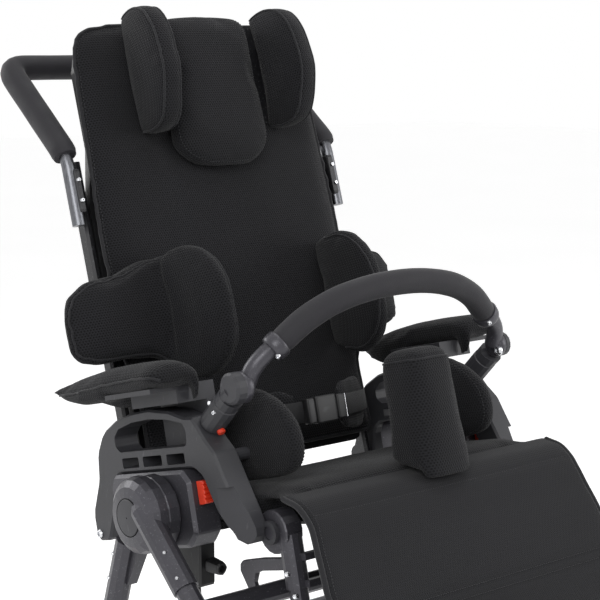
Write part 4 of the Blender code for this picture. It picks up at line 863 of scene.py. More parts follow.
def fasteners(name, body, spots, height=0.0016, share=0.5):
    """Screw heads at places with a direction and a radius."""
    made = new_object(name, [where for where, _, _ in spots], [])
    facing = made.data.attributes.new("facing", "FLOAT_VECTOR", "POINT")
    facing.data.foreach_set("vector", [v for _, way, _ in spots for v in way])
    radius = made.data.attributes.new("head_radius", "FLOAT", "POINT")
    radius.data.foreach_set("value", [size for _, _, size in spots])
    grown_by(made, fastener_tree, "screw_heads", "zinc_plated_steel", Head_Height=height,
             Socket_Share=share)
    finished(shade(made, 30.0), body, "zinc_plated_steel", slot="steel")


# Properties

class ChairCloth(bpy.types.PropertyGroup):
    """Sizes of the covers"""
    mesh_pitch: FloatProperty(name="Mesh pitch", description="Distance between the holes of "
                              "the spacer mesh", default=0.0034, unit="LENGTH")
    piping: FloatProperty(name="Piping radius", description="Radius of the cord in a bound edge",
                          default=0.0022, unit="LENGTH")
    seam_depth: FloatProperty(name="Seam depth", description="How far a sewn line is drawn in",
                              default=0.0022, unit="LENGTH")


class ChairStudio(bpy.types.PropertyGroup):
    """Light and backdrop"""
    key_power: FloatProperty(name="Key power", description="Power of the large soft lamp",
                             default=42.0, unit="POWER")
    fill_power: FloatProperty(name="Fill power", description="Power of the lamp on the far side",
                              default=22.0, unit="POWER")
    ambient: FloatProperty(name="Ambient", description="Strength of the white surroundings",
                           default=0.42)
    top_power: FloatProperty(name="Top power", description="Power of the lamp overhead",
                             default=14.0, unit="POWER")


def settings():
    """The cloth's values."""
    return bpy.context.scene.chair_cloth


# Pieces

class CHAIR_OT_finishes(bpy.types.Operator):
    """Give every CAD solid the material of its slot"""
    bl_idname = "chair.finishes"
    bl_label = "Finishes"

    def execute(self, context):
        slots = {row["node"]: row["material_slot"] for row in frame["record"]["subparts"]}
        for name, obj in frame["nodes"].items():
            obj.data.materials.clear()
            obj.data.materials.append(material(SLOT_FINISH[slots[name]]))
        return {"FINISHED"}


# Half of the backrest's border: X, Z and the corner's radius
BACK_HALF_OUTLINE = [(0.184, 0.022, 0.012), (0.184, 0.118, 0.02), (0.193, 0.150, 0.02),
                     (0.1945, 0.330, 0.0), (0.1905, 0.450, 0.0), (0.1845, 0.5775, 0.05),
                     (0.105, 0.5874, 0.0)]


def back_outline(grow):
    """Border of the backrest in its own X and Z, moved in or out."""
    half = BACK_HALF_OUTLINE
    corners = [(x, z) for x, z, _ in half] + [(0.0, 0.5945)]
    corners += [(-x, z) for x, z, _ in reversed(half)]
    radii = [r for _, _, r in half] + [0.0] + [r for _, _, r in reversed(half)]
    tight = [max(r + grow, 0.004) if r else 0.0 for r in radii]
    return round_corners(grown(corners, grow), tight, 8)


class CHAIR_OT_backrest(bpy.types.Operator):
    """Backrest cushion with a bound edge and a sewn border"""
    bl_idname = "chair.backrest"
    bl_label = "Backrest"

    def execute(self, context):
        s = settings()
        made = pad("backrest_cushion_cover", "backrest_cushion", 0.006, cap=0.005, passes=4)
        border, rear, edge = (
            placed(BACK, [(x, y, z) for x, z in back_outline(grow)])
            for y, grow in ((-0.0450, -0.0115), (-0.0175, -0.0080), (-0.0410, -0.0018)))
        groove(made, border, s.seam_depth, 0.0055, True)
        groove(made, rear, 0.0014, 0.0050, True)
        stuffed(made, BACK, "backrest", "backrest_cushion")
        piping("backrest_piping_front", edge, s.piping, "backrest", made)
        piping("backrest_piping_rear", rear, 0.0016, "backrest", made)
        stitches("backrest_border_stitches", border, "backrest", made, closed=True)
        return {"FINISHED"}


# Half of the head pad's outline in X and Z, a wing's outline in Y and Z, the wing's hinge
# line with its flare in degrees, and its thickness
HEAD_HALF = [(0.030, 0.5845), (0.064, 0.5800), (0.0725, 0.555), (0.0727, 0.500),
             (0.0745, 0.440), (0.0715, 0.410), (0.0456, 0.389), (0.016, 0.385)]
WING = [(-0.0552, 0.4325), (-0.0800, 0.4294), (-0.1010, 0.4305), (-0.1190, 0.4417),
        (-0.1320, 0.4690), (-0.1400, 0.4956), (-0.1385, 0.5200), (-0.1330, 0.5500),
        (-0.1150, 0.5790), (-0.0830, 0.5890), (-0.0552, 0.5840)]
WING_AXIS = (0.0985, -0.0516, 0.508)
WING_FLARE = 5.0
WING_THICK = 0.033


def wing_point(side, u, v, w):
    """A point of a headrest wing: forwards, up and across its thickness."""
    flare = math.radians(WING_FLARE)
    x, y = w - WING_THICK / 2, u - WING_AXIS[1]
    return BACK @ Vector((side * (WING_AXIS[0] + x * math.cos(flare) - y * math.sin(flare)),
                          WING_AXIS[1] + x * math.sin(flare) + y * math.cos(flare), v))


class CHAIR_OT_headrest(bpy.types.Operator):
    """Head pad with its lower lobe and the two side wings"""
    bl_idname = "chair.headrest"
    bl_label = "Headrest"

    def execute(self, context):
        s = settings()
        made = pad("headrest_pad_cover", "headrest_pad")
        outline = smooth(HEAD_HALF + [(-x, z) for x, z in reversed(HEAD_HALF)], 6, True)
        rim = [BACK @ Vector((u * 0.975, -0.0525 - 0.030 * 0.86, 0.488 + (v - 0.488) * 0.975))
               for u, v in outline]
        groove(made, rim, s.seam_depth * 0.6, 0.0042, True)
        stuffed(made, BACK, "headrest", "headrest_pad")
        stitches("headrest_pad_stitches", rim, "headrest", made, closed=True)
        line = smooth(WING, 5)
        for side, tag in SIDES:
            body = "head_wing_" + tag
            wing = pad("headrest_wing_cover_" + tag, "headrest_wing_" + tag, 0.0042)
            seams = {word: [wing_point(side, u, v, WING_THICK * level) for u, v in line]
                     for word, level in (("outer", 0.02), ("inner", 0.98))}
            for seam in seams.values():
                groove(wing, seam, s.seam_depth * 0.7, 0.0036)
            stuffed(wing, BACK, body, "headrest_wing_" + tag)
            for word, seam in seams.items():
                piping(f"headrest_wing_piping_{word}_{tag}", seam, 0.0014, body, wing,
                       closed=False)
        return {"FINISHED"}


# A trunk pad from its leaf's end to its tip in X and Y, its low and high edge at each stop,
# and the Y where the leaf ends
LATERAL_PATH = [(0.2725, -0.0630), (0.2640, -0.0635), (0.2380, -0.0640), (0.1950, -0.0640),
                (0.1600, -0.0640), (0.1330, -0.0690), (0.1262, -0.0910), (0.1230, -0.1150),
                (0.1210, -0.1390), (0.1198, -0.1600), (0.1193, -0.1730), (0.1190, -0.1785)]
LATERAL_SPANS = [(0.180, 0.222), (0.168, 0.246), (0.160, 0.264), (0.159, 0.272), (0.156, 0.284),
                 (0.140, 0.286), (0.128, 0.289), (0.123, 0.2895), (0.128, 0.281),
                 (0.142, 0.262), (0.160, 0.240), (0.178, 0.216)]
LEAF_END = -0.075


class CHAIR_OT_laterals(bpy.types.Operator):
    """Trunk pads: a leaf beside the arm and a rounded pad beside the chest"""
    bl_idname = "chair.laterals"
    bl_label = "Lateral pads"

    def execute(self, context):
        s = settings()
        stops = list(zip(LATERAL_PATH, LATERAL_SPANS))
        for side, tag in SIDES:
            body = "lateral_" + tag
            made = pad("lateral_cover_" + tag, "lateral_pad_" + tag, 0.0046, cap=0.005)
            crease = [BACK @ Vector((side * 0.139, -0.0830, z))
                      for z in (0.138, 0.18, 0.22, 0.26, 0.288)]
            groove(made, crease, 0.0035, 0.0075)
            ring = []
            for share, row in ((0.90, stops), (-0.90, stops[::-1])):
                for (x, y), (low, high) in row:
                    inward, forward = (0.012, 0.0) if y < LEAF_END else (0.0, -0.012)
                    ring.append(BACK @ Vector((side * (x - inward), y + forward,
                                               (low + high) / 2 + (high - low) / 2 * share)))
            seam = smooth(ring, 3, True)
            groove(made, settled(seam, made), s.seam_depth * 0.55, 0.0040, True)
            stuffed(made, BACK, body, "lateral_pad_" + tag)
            piping("lateral_piping_" + tag, seam, 0.0013, body, made)
        return {"FINISHED"}


# Seam of an armrest: Y, share of the width and share of the height
ARM_STOPS = [(-0.0840, 0.62, 0.50), (-0.0810, 0.80, 0.74), (-0.0730, 0.94, 0.92),
             (-0.0635, 1.0, 1.0), (0.0310, 0.98, 0.95), (0.0800, 0.90, 0.80),
             (0.1150, 0.70, 0.66), (0.1380, 0.44, 0.60), (0.1500, 0.22, 0.52)]


class CHAIR_OT_armrests(bpy.types.Operator):
    """Armrest pads with a piped lower edge"""
    bl_idname = "chair.armrests"
    bl_label = "Armrests"

    def execute(self, context):
        for side, tag in SIDES:
            body = "armrest_" + tag
            made = pad("armrest_cover_" + tag, "armrest_pad_" + tag, 0.0042, cap=0.0035,
                       passes=4)
            low = [SEAT @ Vector((side * (0.240 + 0.035 * wide), y, 0.1366 + 0.012 * tall))
                   for y, wide, tall in ARM_STOPS]
            seam = smooth(low, 5)
            groove(made, settled(seam, made), 0.0012, 0.0036)
            stuffed(made, SEAT, body, "armrest_pad_" + tag)
            piping("armrest_piping_" + tag, seam, 0.0013, body, made, closed=False)
        return {"FINISHED"}


# Outline of a hip pad in Y and Z, and how much smaller its seam is
HIP = [(0.012, 0.060), (0.006, 0.096), (-0.030, 0.119), (-0.082, 0.123), (-0.128, 0.108),
       (-0.158, 0.078), (-0.163, 0.044), (-0.144, 0.021), (-0.090, 0.0160), (-0.030, 0.0170),
       (0.002, 0.030)]
HIP_SEAM = 0.955


class CHAIR_OT_seat(bpy.types.Operator):
    """Seat cushion, hip pads and the block between the knees"""
    bl_idname = "chair.seat"
    bl_label = "Seat"

    def execute(self, context):
        s = settings()
        seat = pad("seat_cushion_cover", "seat_cushion", 0.005, passes=3)
        for x in (0.181, -0.181):
            groove(seat, placed(SEAT, [(x, y, 0.0118) for y in (0.058, -0.06, -0.145)]), 0.0014,
                   0.0045)
        stuffed(seat, SEAT, "seat_unit", "seat_cushion")
        outline = smooth(HIP, 4, True)
        for side, tag in SIDES:
            made = pad("hip_cover_" + tag, "hip_pad_" + tag)
            seam = [SEAT @ Vector((side * (0.160 - 0.0235), u * HIP_SEAM - 0.0035,
                                   0.069 + (v - 0.069) * HIP_SEAM)) for u, v in outline]
            groove(made, seam, s.seam_depth * 0.6, 0.0040, True)
            stuffed(made, SEAT, "seat_unit", "hip_pad_" + tag)
            stitches("hip_stitches_" + tag, seam, "seat_unit", made, closed=True)
        block = pad("abduction_block_cover", "abduction_block", cap=0.0030, shrink=0.0035)
        outline = round_corners([(-0.042, -0.166), (-0.037, -0.240), (0.037, -0.240),
                                 (0.042, -0.166)], [0.024, 0.028, 0.028, 0.024], 8)
        seam = [SEAT @ Vector((x, y, 0.1255)) for x, y in outline]
        groove(block, seam, s.seam_depth * 0.5, 0.0036, True)
        stuffed(block, SEAT, "abduction", "abduction_block")
        piping("abduction_block_piping", seam, 0.0012, "abduction", block)
        return {"FINISHED"}


# The belt from above, in X and Y: middle line of a pad, half of the webbing; the buckle's
# three bodies from and to an X, and from and to a Z
BELT = [(0.142, 0.066), (0.122, 0.047), (0.097, 0.024), (0.070, 0.003), (0.044, -0.013),
        (0.030, -0.019)]
STRAP = [(-0.150, 0.064), (-0.1290, 0.0400), (-0.1030, 0.0160), (-0.0745, -0.0060),
         (-0.0460, -0.0230), (-0.0200, -0.0310), (0.0, -0.0330)]
BUCKLE = ((-0.030, -0.018, 0.0650, 0.0950), (-0.0165, 0.0150, 0.0640, 0.0960),
          (0.0165, 0.030, 0.0655, 0.0945))
BUCKLE_EDGE = 0.0012


class CHAIR_OT_belt(bpy.types.Operator):
    """Pelvic belt: padded halves, webbing and a side-squeeze buckle"""
    bl_idname = "chair.belt"
    bl_label = "Belt"

    def execute(self, context):
        for side, tag in SIDES:
            made = pad("belt_pad_cover_" + tag, "belt_pad_" + tag, 0.0032, cap=0.002,
                       shrink=0.0006, passes=3)
            for z in (0.066, 0.094):
                line = placed(SEAT, smooth([(side * x, y - 0.006, z) for x, y in BELT], 4))
                groove(made, settled(line, made), 0.0014, 0.0030)
            stuffed(made, SEAT, "seat_unit", "belt_pad_" + tag)
        path = smooth(STRAP + [(-x, y) for x, y in reversed(STRAP[:-1])], 6)
        rings = []
        for i, here in enumerate(path):
            along = (path[min(i + 1, len(path) - 1)] - path[max(i - 1, 0)]).normalized()
            side = Vector((along.y, -along.x)) * 0.0009
            rings.append([(here.x + side.x * k, here.y + side.y * k, z)
                          for k, z in ((-1, 0.0680), (-0.4, 0.0675), (0.4, 0.0675), (1, 0.0680),
                                       (1, 0.0920), (0.4, 0.0925), (-0.4, 0.0925),
                                       (-1, 0.0920))])
        strap = shade(loft("belt_webbing", rings, SEAT), 50.0)
        finished(strap, "seat_unit", "polyester_webbing", slot="black_plastic")
        parts = []
        for x0, x1, low, high in BUCKLE:
            outline = round_corners([(x0, -0.0388), (x1, -0.0388), (x1, -0.0272),
                                     (x0, -0.0272)], 0.0030, 5)
            rings = [[(x, y, z) for x, y in grown(outline, grow)]
                     for z, grow in ((low, -BUCKLE_EDGE), (low + BUCKLE_EDGE, 0.0),
                                     (high - BUCKLE_EDGE, 0.0), (high, -BUCKLE_EDGE))]
            parts.append(loft("buckle", rings, SEAT))
        tongue = loft("tongue", [[(x, y, z) for x, y in ((-0.026, -0.0362), (0.026, -0.0362),
                                                         (0.026, -0.0298), (-0.026, -0.0298))]
                                 for z in (0.069, 0.091)], SEAT)
        buckle = joined(*parts, tongue)
        buckle.name = "belt_side_squeeze_buckle"
        finished(shade(bevelled(buckle, 0.0005)), "seat_unit", "moulded_polypropylene",
                 "belt_buckle", slot="black_plastic")
        bar = rod("belt_adjuster_bar", placed(SEAT, [(0.0318, -0.0345, 0.066),
                                                    (0.0318, -0.0345, 0.094)]), 0.0013, 12)
        finished(shade(bar), "seat_unit", "zinc_plated_steel", slot="steel")
        return {"FINISHED"}


# Side view of the calf pad from its nose down, in Y and Z: rear and front point of each stop
CALF = [((-0.1865, -0.0005), (-0.1882, 0.0048)), ((-0.1920, -0.0035), (-0.1995, 0.0010)),
        ((-0.2010, -0.0072), (-0.2090, -0.0025)), ((-0.2080, -0.0115), (-0.2160, -0.0072)),
        ((-0.2130, -0.0172), (-0.2218, -0.0130)), ((-0.2158, -0.0215), (-0.2265, -0.0185)),
        ((-0.2195, -0.0275), (-0.2300, -0.0260)), ((-0.2225, -0.0330), (-0.2335, -0.0360)),
        ((-0.2280, -0.0480), (-0.2380, -0.0520)), ((-0.2325, -0.0630), (-0.2440, -0.0670)),
        ((-0.2380, -0.0830), (-0.2500, -0.0860)), ((-0.2430, -0.1050), (-0.2555, -0.1080)),
        ((-0.2460, -0.1190), (-0.2582, -0.1205)), ((-0.2472, -0.1280), (-0.2588, -0.1290)),
        ((-0.2478, -0.1370), (-0.2590, -0.1375)), ((-0.2475, -0.1500), (-0.2592, -0.1510)),
        ((-0.2460, -0.1700), (-0.2590, -0.1720)), ((-0.2420, -0.2100), (-0.2560, -0.2120)),
        ((-0.2385, -0.2480), (-0.2515, -0.2500)), ((-0.2370, -0.2650), (-0.2470, -0.2690)),
        ((-0.2375, -0.2730), (-0.2420, -0.2760))]
CALF_ACROSS = [-1.0 + 2.0 * i / 96 for i in range(97)]
# Half of its width at the nose, and its seams: distance down, depth and width
CALF_HALF = 0.204
CALF_SEAMS = ((0.0165, 0.0016, 0.0030), (0.1270, 0.0026, 0.0036), (0.1385, 0.0024, 0.0036))


def calf_lines():
    """Rear and front face of the calf pad in the side view, closely stepped."""
    back = even(smooth([(*inner, 0.0) for inner, _ in CALF], 6), 0.0035)
    face = smooth([(*outer, 0.0) for _, outer in CALF], 6)
    return back, even(face, sum((b - a).length for a, b in zip(face, face[1:]))
                      / (len(back) - 1))


def calf_flare(p):
    """How much wider the calf pad is at a point of its side view than at its nose."""
    return 1.0 + 0.045 * min(max((-p.y - 0.0345) / 0.06, 0.0), 1.0)


def calf_ring(a, b):
    """Outline of the calf pad across, between a rear and a front point of its side view."""
    wide = CALF_HALF * calf_flare(a)
    front, rear = [], []
    for x in CALF_ACROSS:
        edge = max(abs(x) - 0.90, 0.0) / 0.10
        deep = 0.10 * edge ** 2 + 0.40 * max(abs(x) - 0.975, 0.0) / 0.025
        crown = 0.02 * (1.0 - x * x)
        p = b.lerp(a, deep + crown)
        q = a.lerp(b, 0.22 * max(abs(x) - 0.96, 0.0) / 0.04)
        front.append((x * wide, p.x, p.y))
        rear.append((x * wide, q.x, q.y))
    return front + rear[::-1]


class CHAIR_OT_calf(bpy.types.Operator):
    """Calf pad: thin, bound all round, with a seam at the nose and a double channel"""
    bl_idname = "chair.calf"
    bl_label = "Calf pad"

    def execute(self, context):
        back, face = calf_lines()
        made = loft("calf_cover", [calf_ring(a, b) for a, b in zip(back, face)], SEAT)
        seams = []
        for height, depth, width in CALF_SEAMS:
            p = min((p for p in face if p.x < -0.21), key=lambda p: abs(-p.y - height))
            wide = CALF_HALF * calf_flare(p) - 0.012
            seams.append([SEAT @ Vector((x * wide, p.x - 0.001 * (1 - x * x), p.y))
                          for x in CALF_ACROSS])
            groove(made, seams[-1], depth, width)
        stuffed(shade(made, 50.0), LEG, "leg_rest", "calf_cushion", "woven_cover",
                "cover_fabric")
        for i, line in enumerate(seams):
            stitches(f"calf_stitches_{i + 1}", line, "leg_rest", made, pitch=0.0036,
                     length=0.0028)
        for side, tag in SIDES:
            edge, hem = [], []
            for a, b in zip(back, face):
                p = b.lerp(a, 0.42)
                edge.append(SEAT @ Vector((side * 0.2035 * calf_flare(a), p.x, p.y)))
                hem.append(SEAT @ Vector((side * (CALF_HALF * calf_flare(a) - 0.0075),
                                          b.x, b.y)))
            piping("calf_binding_" + tag, edge, 0.0032, "leg_rest", closed=False)
            stitches("calf_hem_stitches_" + tag, hem[2:-2], "leg_rest", made, pitch=0.0036,
                     length=0.0028)
        return {"FINISHED"}


# The front bar's joint in Y and Z and its distance from the middle, half of the arch in its
# own plane, that plane's way up, and the path's points outside the foam sleeve
BAR_PIVOT = (-0.1378, 0.1230)
BAR_X = 0.201
ARCH = [(0.1905, 0.002), (0.1868, 0.0209), (0.1745, 0.0370), (0.1560, 0.0503), (0.127, 0.0745),
        (0.090, 0.0925), (0.045, 0.1025), (0.0, 0.1054)]
ARCH_UP = Vector((0.0, -0.555, 0.832)).normalized()
BARE_POINTS = 24


def arch_path():
    """Axis of the front bar from the right joint to the left one."""
    half = [(-u, v) for u, v in ARCH]
    whole = half + [(u, v) for u, v in reversed(ARCH[:-1])]
    base = Vector((0.0, *BAR_PIVOT))
    return placed(SEAT, smooth([base + Vector((u, 0, 0)) + ARCH_UP * v for u, v in whole], 8))


class CHAIR_OT_front_bar(bpy.types.Operator):
    """Front bar: foam sleeve, tube, collars and joint rings"""
    bl_idname = "chair.front_bar"
    bl_label = "Front bar"

    def execute(self, context):
        path = arch_path()
        grip = path[BARE_POINTS:-BARE_POINTS]
        radii = []
        for i, p in enumerate(grip):
            end = min(i, len(grip) - 1 - i)
            radii.append(0.0143 * (0.93 if end == 0 else 0.98 if end == 1 else 1.0)
                         + 0.00025 * noise.noise(p * 30.0))
        sleeve = shade(rod("crossbar_foam_sleeve", grip, radii, 40), 50.0)
        finished(sleeve, "crossbar", "closed_cell_foam", "crossbar_grip", slot="foam")
        tube = rod("tube", path, 0.0100, 32)
        parts = []
        for index, way in ((BARE_POINTS, -1), (len(path) - 1 - BARE_POINTS, 1)):
            here, beyond = path[index], path[index - way]
            along = (here - beyond).normalized()
            near = here + along * 0.0006
            parts.append(rod("collar", [near + along * t for t in
                                        (0.0, 0.0012, 0.0024, 0.0105, 0.0132, 0.0150)],
                             [0.0146, 0.0156, 0.0160, 0.0154, 0.0146, 0.0124], 40))
        for side, wide in ((-1, 0.0175), (1, 0.0145)):
            profile = [(0.0005, 0.0002), (wide - 0.0006, 0.0002), (wide, -0.0006),
                       (wide, -0.0074), (wide - 0.0012, -0.0094), (wide - 0.0040, -0.0115),
                       (0.0005, -0.0118)]
            rings = [[(side * (BAR_X + out), BAR_PIVOT[0] + a, BAR_PIVOT[1] + b)
                      for a, b in circle(radius, 40)] for radius, out in profile]
            parts.append(loft("disc", rings, SEAT))
        joined(tube, *parts).name = "crossbar_bent_tube"
        finished(shade(tube, 40.0), "crossbar", "powder_coated_tube", "crossbar_tube",
                 slot="graphite")
        fasteners("crossbar_collar_screws", "crossbar",
                  spots_seen(((278.0, 355.8), (489.2, 322.5)), 0.0030, "crossbar_tube"))
        where, _ = seen_at(498.3, 350.5, "crossbar_tube", "crossbar_stem_L")
        fasteners("crossbar_joint_bolt_L", "crossbar", [(where, Vector((-1.0, 0.0, 0.0)), 0.0062)],
                  0.0022, 0.45)
        spots = spots_seen(((205.0, 400.0), (214.2, 412.5)), 0.0026, "crossbar_stem_R",
                           "crossbar_socket_R")
        fasteners("crossbar_stem_screw_R", "bar_stem_R", spots[:1])
        fasteners("crossbar_socket_screw_R", "seat_unit", spots[1:])
        return {"FINISHED"}


# Half of the push handle's line, and the radii of its four bends
HANDLE = [(0.2045, -0.0265, 0.334), (0.2045, -0.0265, 0.420), (0.2045, 0.0697, 0.5576)]
HANDLE_BENDS = (0.050, 0.024, 0.024, 0.050)


class CHAIR_OT_push_handle(bpy.types.Operator):
    """Push handle: steel tube with a foam sleeve and the clamps' screws"""
    bl_idname = "chair.push_handle"
    bl_label = "Push handle"

    def execute(self, context):
        corners = [(-x, y, z) for x, y, z in HANDLE] + list(reversed(HANDLE))
        path = placed(BACK, bent_path(corners, HANDLE_BENDS, 12))
        tube = shade(rod("push_handle_tube", path, 0.008, 32), 50.0)
        finished(tube, "push_handle", "satin_stainless_steel", "handle_bar", slot="steel")
        coarse = placed(BACK, bent_path(corners, HANDLE_BENDS, 4))
        first, last = coarse[3], coarse[-4]
        a = min(range(len(path)), key=lambda i: (path[i] - first).length)
        b = min(range(len(path)), key=lambda i: (path[i] - last).length)
        grip = even([first] + path[a + 1:b] + [last], 0.006)
        sizes = [0.0155 * (0.9 if min(i, len(grip) - 1 - i) == 0 else 1.0)
                 + 0.0003 * noise.noise(p * 24.0) for i, p in enumerate(grip)]
        sleeve = shade(rod("push_handle_foam_sleeve", grip, sizes, 40), 50.0)
        finished(sleeve, "push_handle", "closed_cell_foam", "handle_grip", slot="foam")
        behind = BACK.to_3x3() @ Vector((0.0, -1.0, 0.0))
        spots = [(BACK @ Vector((side * 0.2000, -0.0365, z)), behind, 0.0030)
                 for side, _ in SIDES for z in (0.3630, 0.3880)]
        fasteners("push_handle_clamp_screws", "backrest", spots)
        return {"FINISHED"}


# Distance of the hub housings' outer faces from the middle
HUB_FACE = 0.2750


class CHAIR_OT_hubs(bpy.types.Operator):
    """Caps on the hubs with a dark ring of painted shade in each parting line, and rivets on the
    legs
    """
    bl_idname = "chair.hubs"
    bl_label = "Hubs"

    def execute(self, context):
        for side, tag in SIDES:
            profile = [(radius, side * (HUB_FACE + out)) for radius, out in (
                (0.0010, -0.002), (0.0206, -0.002), (0.0208, 0.0003), (0.0200, 0.0009),
                (0.0120, 0.0014), (0.0010, 0.0017))]
            cap = shade(turned("hub_cap_" + tag, profile, HUB, 64), 30.0)
            finished(cap, "base", "glass_filled_nylon", slot="graphite")
            # A thin dark ring round each cap: painted shade in the parting line between cap and
            # housing
            line = [HUB @ Vector((side * (HUB_FACE + 0.0001), a, b))
                    for a, b in circle(0.0212, 72)]
            ring = shade(rod("hub_cap_painted_gap_shade_" + tag, line, 0.0006, 8, True), 60.0)
            finished(ring, "base", "painted_gap_shade", slot="graphite")
        front = spots_seen(((164.7, 552.8), (177.2, 578.3)), 0.0024, "hub_housing_R",
                           "front_frame")
        rear = spots_seen(((112.7, 553.7), (108.8, 577.7)), 0.0024, "rear_frame")
        for body, spots in (("base", front), ("rear_legs", rear)):
            fasteners("leg_rivets_" + body, body, on_both_sides(spots), 0.0012, 0.4)
        return {"FINISHED"}


class CHAIR_OT_sides(bpy.types.Operator):
    """Bolts and rings on the side plates and the leg rest's pivots"""
    bl_idname = "chair.sides"
    bl_label = "Sides"

    def execute(self, context):
        bolts = []
        for side, tag in SIDES:
            bolts.append((SEAT @ Vector((side * 0.2222, 0.1480, -0.0255)),
                          Vector((side, 0.0, 0.0)), 0.0052))
            profile = [(0.0098, side * 0.1890), (0.0124, side * 0.1890),
                       (0.0128, side * 0.1899), (0.0120, side * 0.1899)]
            ring = turned("leg_pivot_ring_" + tag, profile, SEAT, 48, (-0.142, -0.0345))
            finished(shade(ring), "leg_rest", "glass_filled_nylon", slot="graphite")
        fasteners("side_plate_ring_bolts", "seat_unit", bolts, 0.0018, 0.55)
        spots = spots_seen(((287.5, 574.2), (295.8, 596.5)), 0.0034, "legrest_frame")
        fasteners("leg_tube_screws", "leg_rest", on_both_sides(spots))
        return {"FINISHED"}


# Half profiles of a castor wheel: radius and distance from its middle plane
TREAD = [(0.0350, 0.0113), (0.0357, 0.0124), (0.0372, 0.0126), (0.0400, 0.0127),
         (0.0440, 0.0124), (0.0464, 0.0104), (0.0477, 0.0070), (0.0480, 0.0040),
         (0.0478, 0.0022), (0.0466, 0.0012)]
CORE = [(0.0046, 0.0116), (0.0085, 0.0120), (0.0092, 0.0110), (0.0096, 0.0070),
        (0.0285, 0.0062), (0.0300, 0.0068), (0.0312, 0.0112), (0.0320, 0.0118),
        (0.0349, 0.0118)]


class CHAIR_OT_castors(bpy.types.Operator):
    """Castor wheels with a grooved tread, a dished core and axle bolts"""
    bl_idname = "chair.castors"
    bl_label = "Castors"

    def execute(self, context):
        for tag in ("FL", "FR", "RL", "RR"):
            low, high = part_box("castor_wheel_" + tag)
            centre = (low + high) / 2
            for name, half, angle, finish, nodes in (
                    ("tread", TREAD, 50.0, "polyurethane_tread", ["castor_wheel_" + tag]),
                    ("core", CORE, 30.0, "glass_filled_nylon", [])):
                made = turned(f"castor_{name}_{tag}", half + [(r, -x) for r, x in half[::-1]],
                              Matrix.Translation(centre), 64)
                finished(shade(made, angle), "wheel_" + tag, finish, *nodes, slot="tyre")
            ends = [(centre + Vector((side * 0.0205, 0.0, 0.0)), Vector((side, 0.0, 0.0)),
                     0.0055) for side in (-1, 1)]
            fasteners("castor_axle_bolts_" + tag, "fork_" + tag, ends, 0.0028, 0.5)
        return {"FINISHED"}


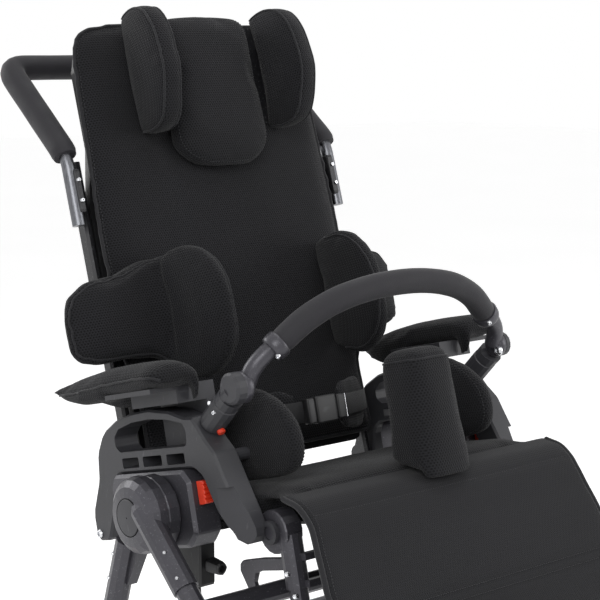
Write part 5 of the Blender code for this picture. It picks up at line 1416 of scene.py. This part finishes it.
class CHAIR_OT_stage(bpy.types.Operator):
    """Camera at the photograph's angle, soft lamps and a pale floor"""
    bl_idname = "chair.stage"
    bl_label = "Stage"

    def execute(self, context):
        scene = context.scene
        studio = scene.chair_studio
        data = bpy.data.cameras.new("photo_camera")
        data.lens, data.sensor_width = LENS, SENSOR
        data.clip_start, data.clip_end = 0.05, 60.0
        camera = linked("photo_camera", data)
        camera.location, camera.rotation_euler = CAMERA_AT, CAMERA_TURN
        scene.camera = camera
        scene.view_settings.view_transform = "Standard"
        target = Vector((0.0, 0.0, 0.6))
        for name, at, size, power in (
                ("key_lamp", (-2.2, -1.9, 2.1), 1.8, studio.key_power),
                ("top_lamp", (0.3, 0.2, 2.9), 1.8, studio.top_power),
                ("fill_lamp", (1.9, -1.8, 1.3), 1.6, studio.fill_power),
                ("rear_lamp", (-1.2, 2.3, 1.6), 1.4, studio.fill_power)):
            lamp = bpy.data.lights.new(name, "AREA")
            lamp.shape, lamp.size, lamp.energy = "DISK", size, power
            holder = linked(name, lamp)
            holder.location = at
            holder.rotation_mode = "QUATERNION"
            holder.rotation_quaternion = (target - Vector(at)).to_track_quat("-Z", "Y")
        world = bpy.data.worlds.new("white_surroundings")
        scene.world = world
        world.use_nodes = True
        tree = world.node_tree
        path = node(tree, "ShaderNodeLightPath").outputs
        seen = maths(tree, "MAXIMUM", path["Is Camera Ray"],
                     maths(tree, "MAXIMUM", path["Is Glossy Ray"], path["Is Transmission Ray"]))
        strength = node(tree, "ShaderNodeMapRange", {"Value": seen},
                        {"To Min": studio.ambient, "To Max": 1.0})
        tree.nodes["Background"].inputs["Color"].default_value = (1.0, 1.0, 1.0, 1.0)
        tree.links.new(strength.outputs["Result"], tree.nodes["Background"].inputs["Strength"])
        size = 14.0
        floor = new_object("studio_floor", [(-size, -size, 0.0), (size, -size, 0.0),
                                            (size, size, 0.0), (-size, size, 0.0)],
                           [(0, 1, 2, 3)])
        made, tree, where = start_material("pale_floor", Roughness=0.9,
                                           Emission_Color=(1.0, 1.0, 1.0, 1.0))
        shader = tree.nodes["Principled BSDF"].inputs
        cloud = spread(tree, blotches(tree, where, 1.5), 0.0, 1.0)
        tree.links.new(mixed(tree, cloud, "#e4e4e4", "#e9e9e9"), shader["Base Color"])
        path = node(tree, "ShaderNodeLightPath").outputs
        seen = maths(tree, "MAXIMUM", path["Is Camera Ray"], path["Is Glossy Ray"])
        tree.links.new(maths(tree, "MULTIPLY", seen, 0.60), shader["Emission Strength"])
        floor.data.materials.append(made)
        return {"FINISHED"}


class CHAIR_PT_panel(bpy.types.Panel):
    """Lists the chair's pieces in their order of making"""
    bl_idname = "CHAIR_PT_panel"
    bl_label = "Rehabilitation Chair"
    bl_space_type = "VIEW_3D"
    bl_region_type = "UI"
    bl_category = "Chair"

    def draw(self, context):
        layout = self.layout
        for group in (context.scene.chair_cloth, context.scene.chair_studio):
            for key in group.bl_rna.properties.keys():
                if key not in ("rna_type", "name"):
                    layout.prop(group, key)
        for made in OPERATORS:
            layout.operator(made.bl_idname)


OPERATORS = (CHAIR_OT_stage, CHAIR_OT_finishes, CHAIR_OT_backrest, CHAIR_OT_headrest,
             CHAIR_OT_laterals, CHAIR_OT_armrests, CHAIR_OT_seat, CHAIR_OT_belt, CHAIR_OT_calf,
             CHAIR_OT_front_bar, CHAIR_OT_push_handle, CHAIR_OT_hubs, CHAIR_OT_sides,
             CHAIR_OT_castors)
CLASSES = (ChairCloth, ChairStudio, *OPERATORS, CHAIR_PT_panel)


def register():
    """Add the classes and the scene's properties."""
    for made in CLASSES:
        bpy.utils.register_class(made)
    bpy.types.Scene.chair_cloth = PointerProperty(type=ChairCloth)
    bpy.types.Scene.chair_studio = PointerProperty(type=ChairStudio)


def unregister():
    """Remove them again."""
    del bpy.types.Scene.chair_studio
    del bpy.types.Scene.chair_cloth
    for made in reversed(CLASSES):
        bpy.utils.unregister_class(made)


def main():
    """Dress the chair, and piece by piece."""
    register()
    for made in OPERATORS:
        group, name = made.bl_idname.split(".")
        getattr(getattr(bpy.ops, group), name)()


if __name__ == "__main__":
    main()
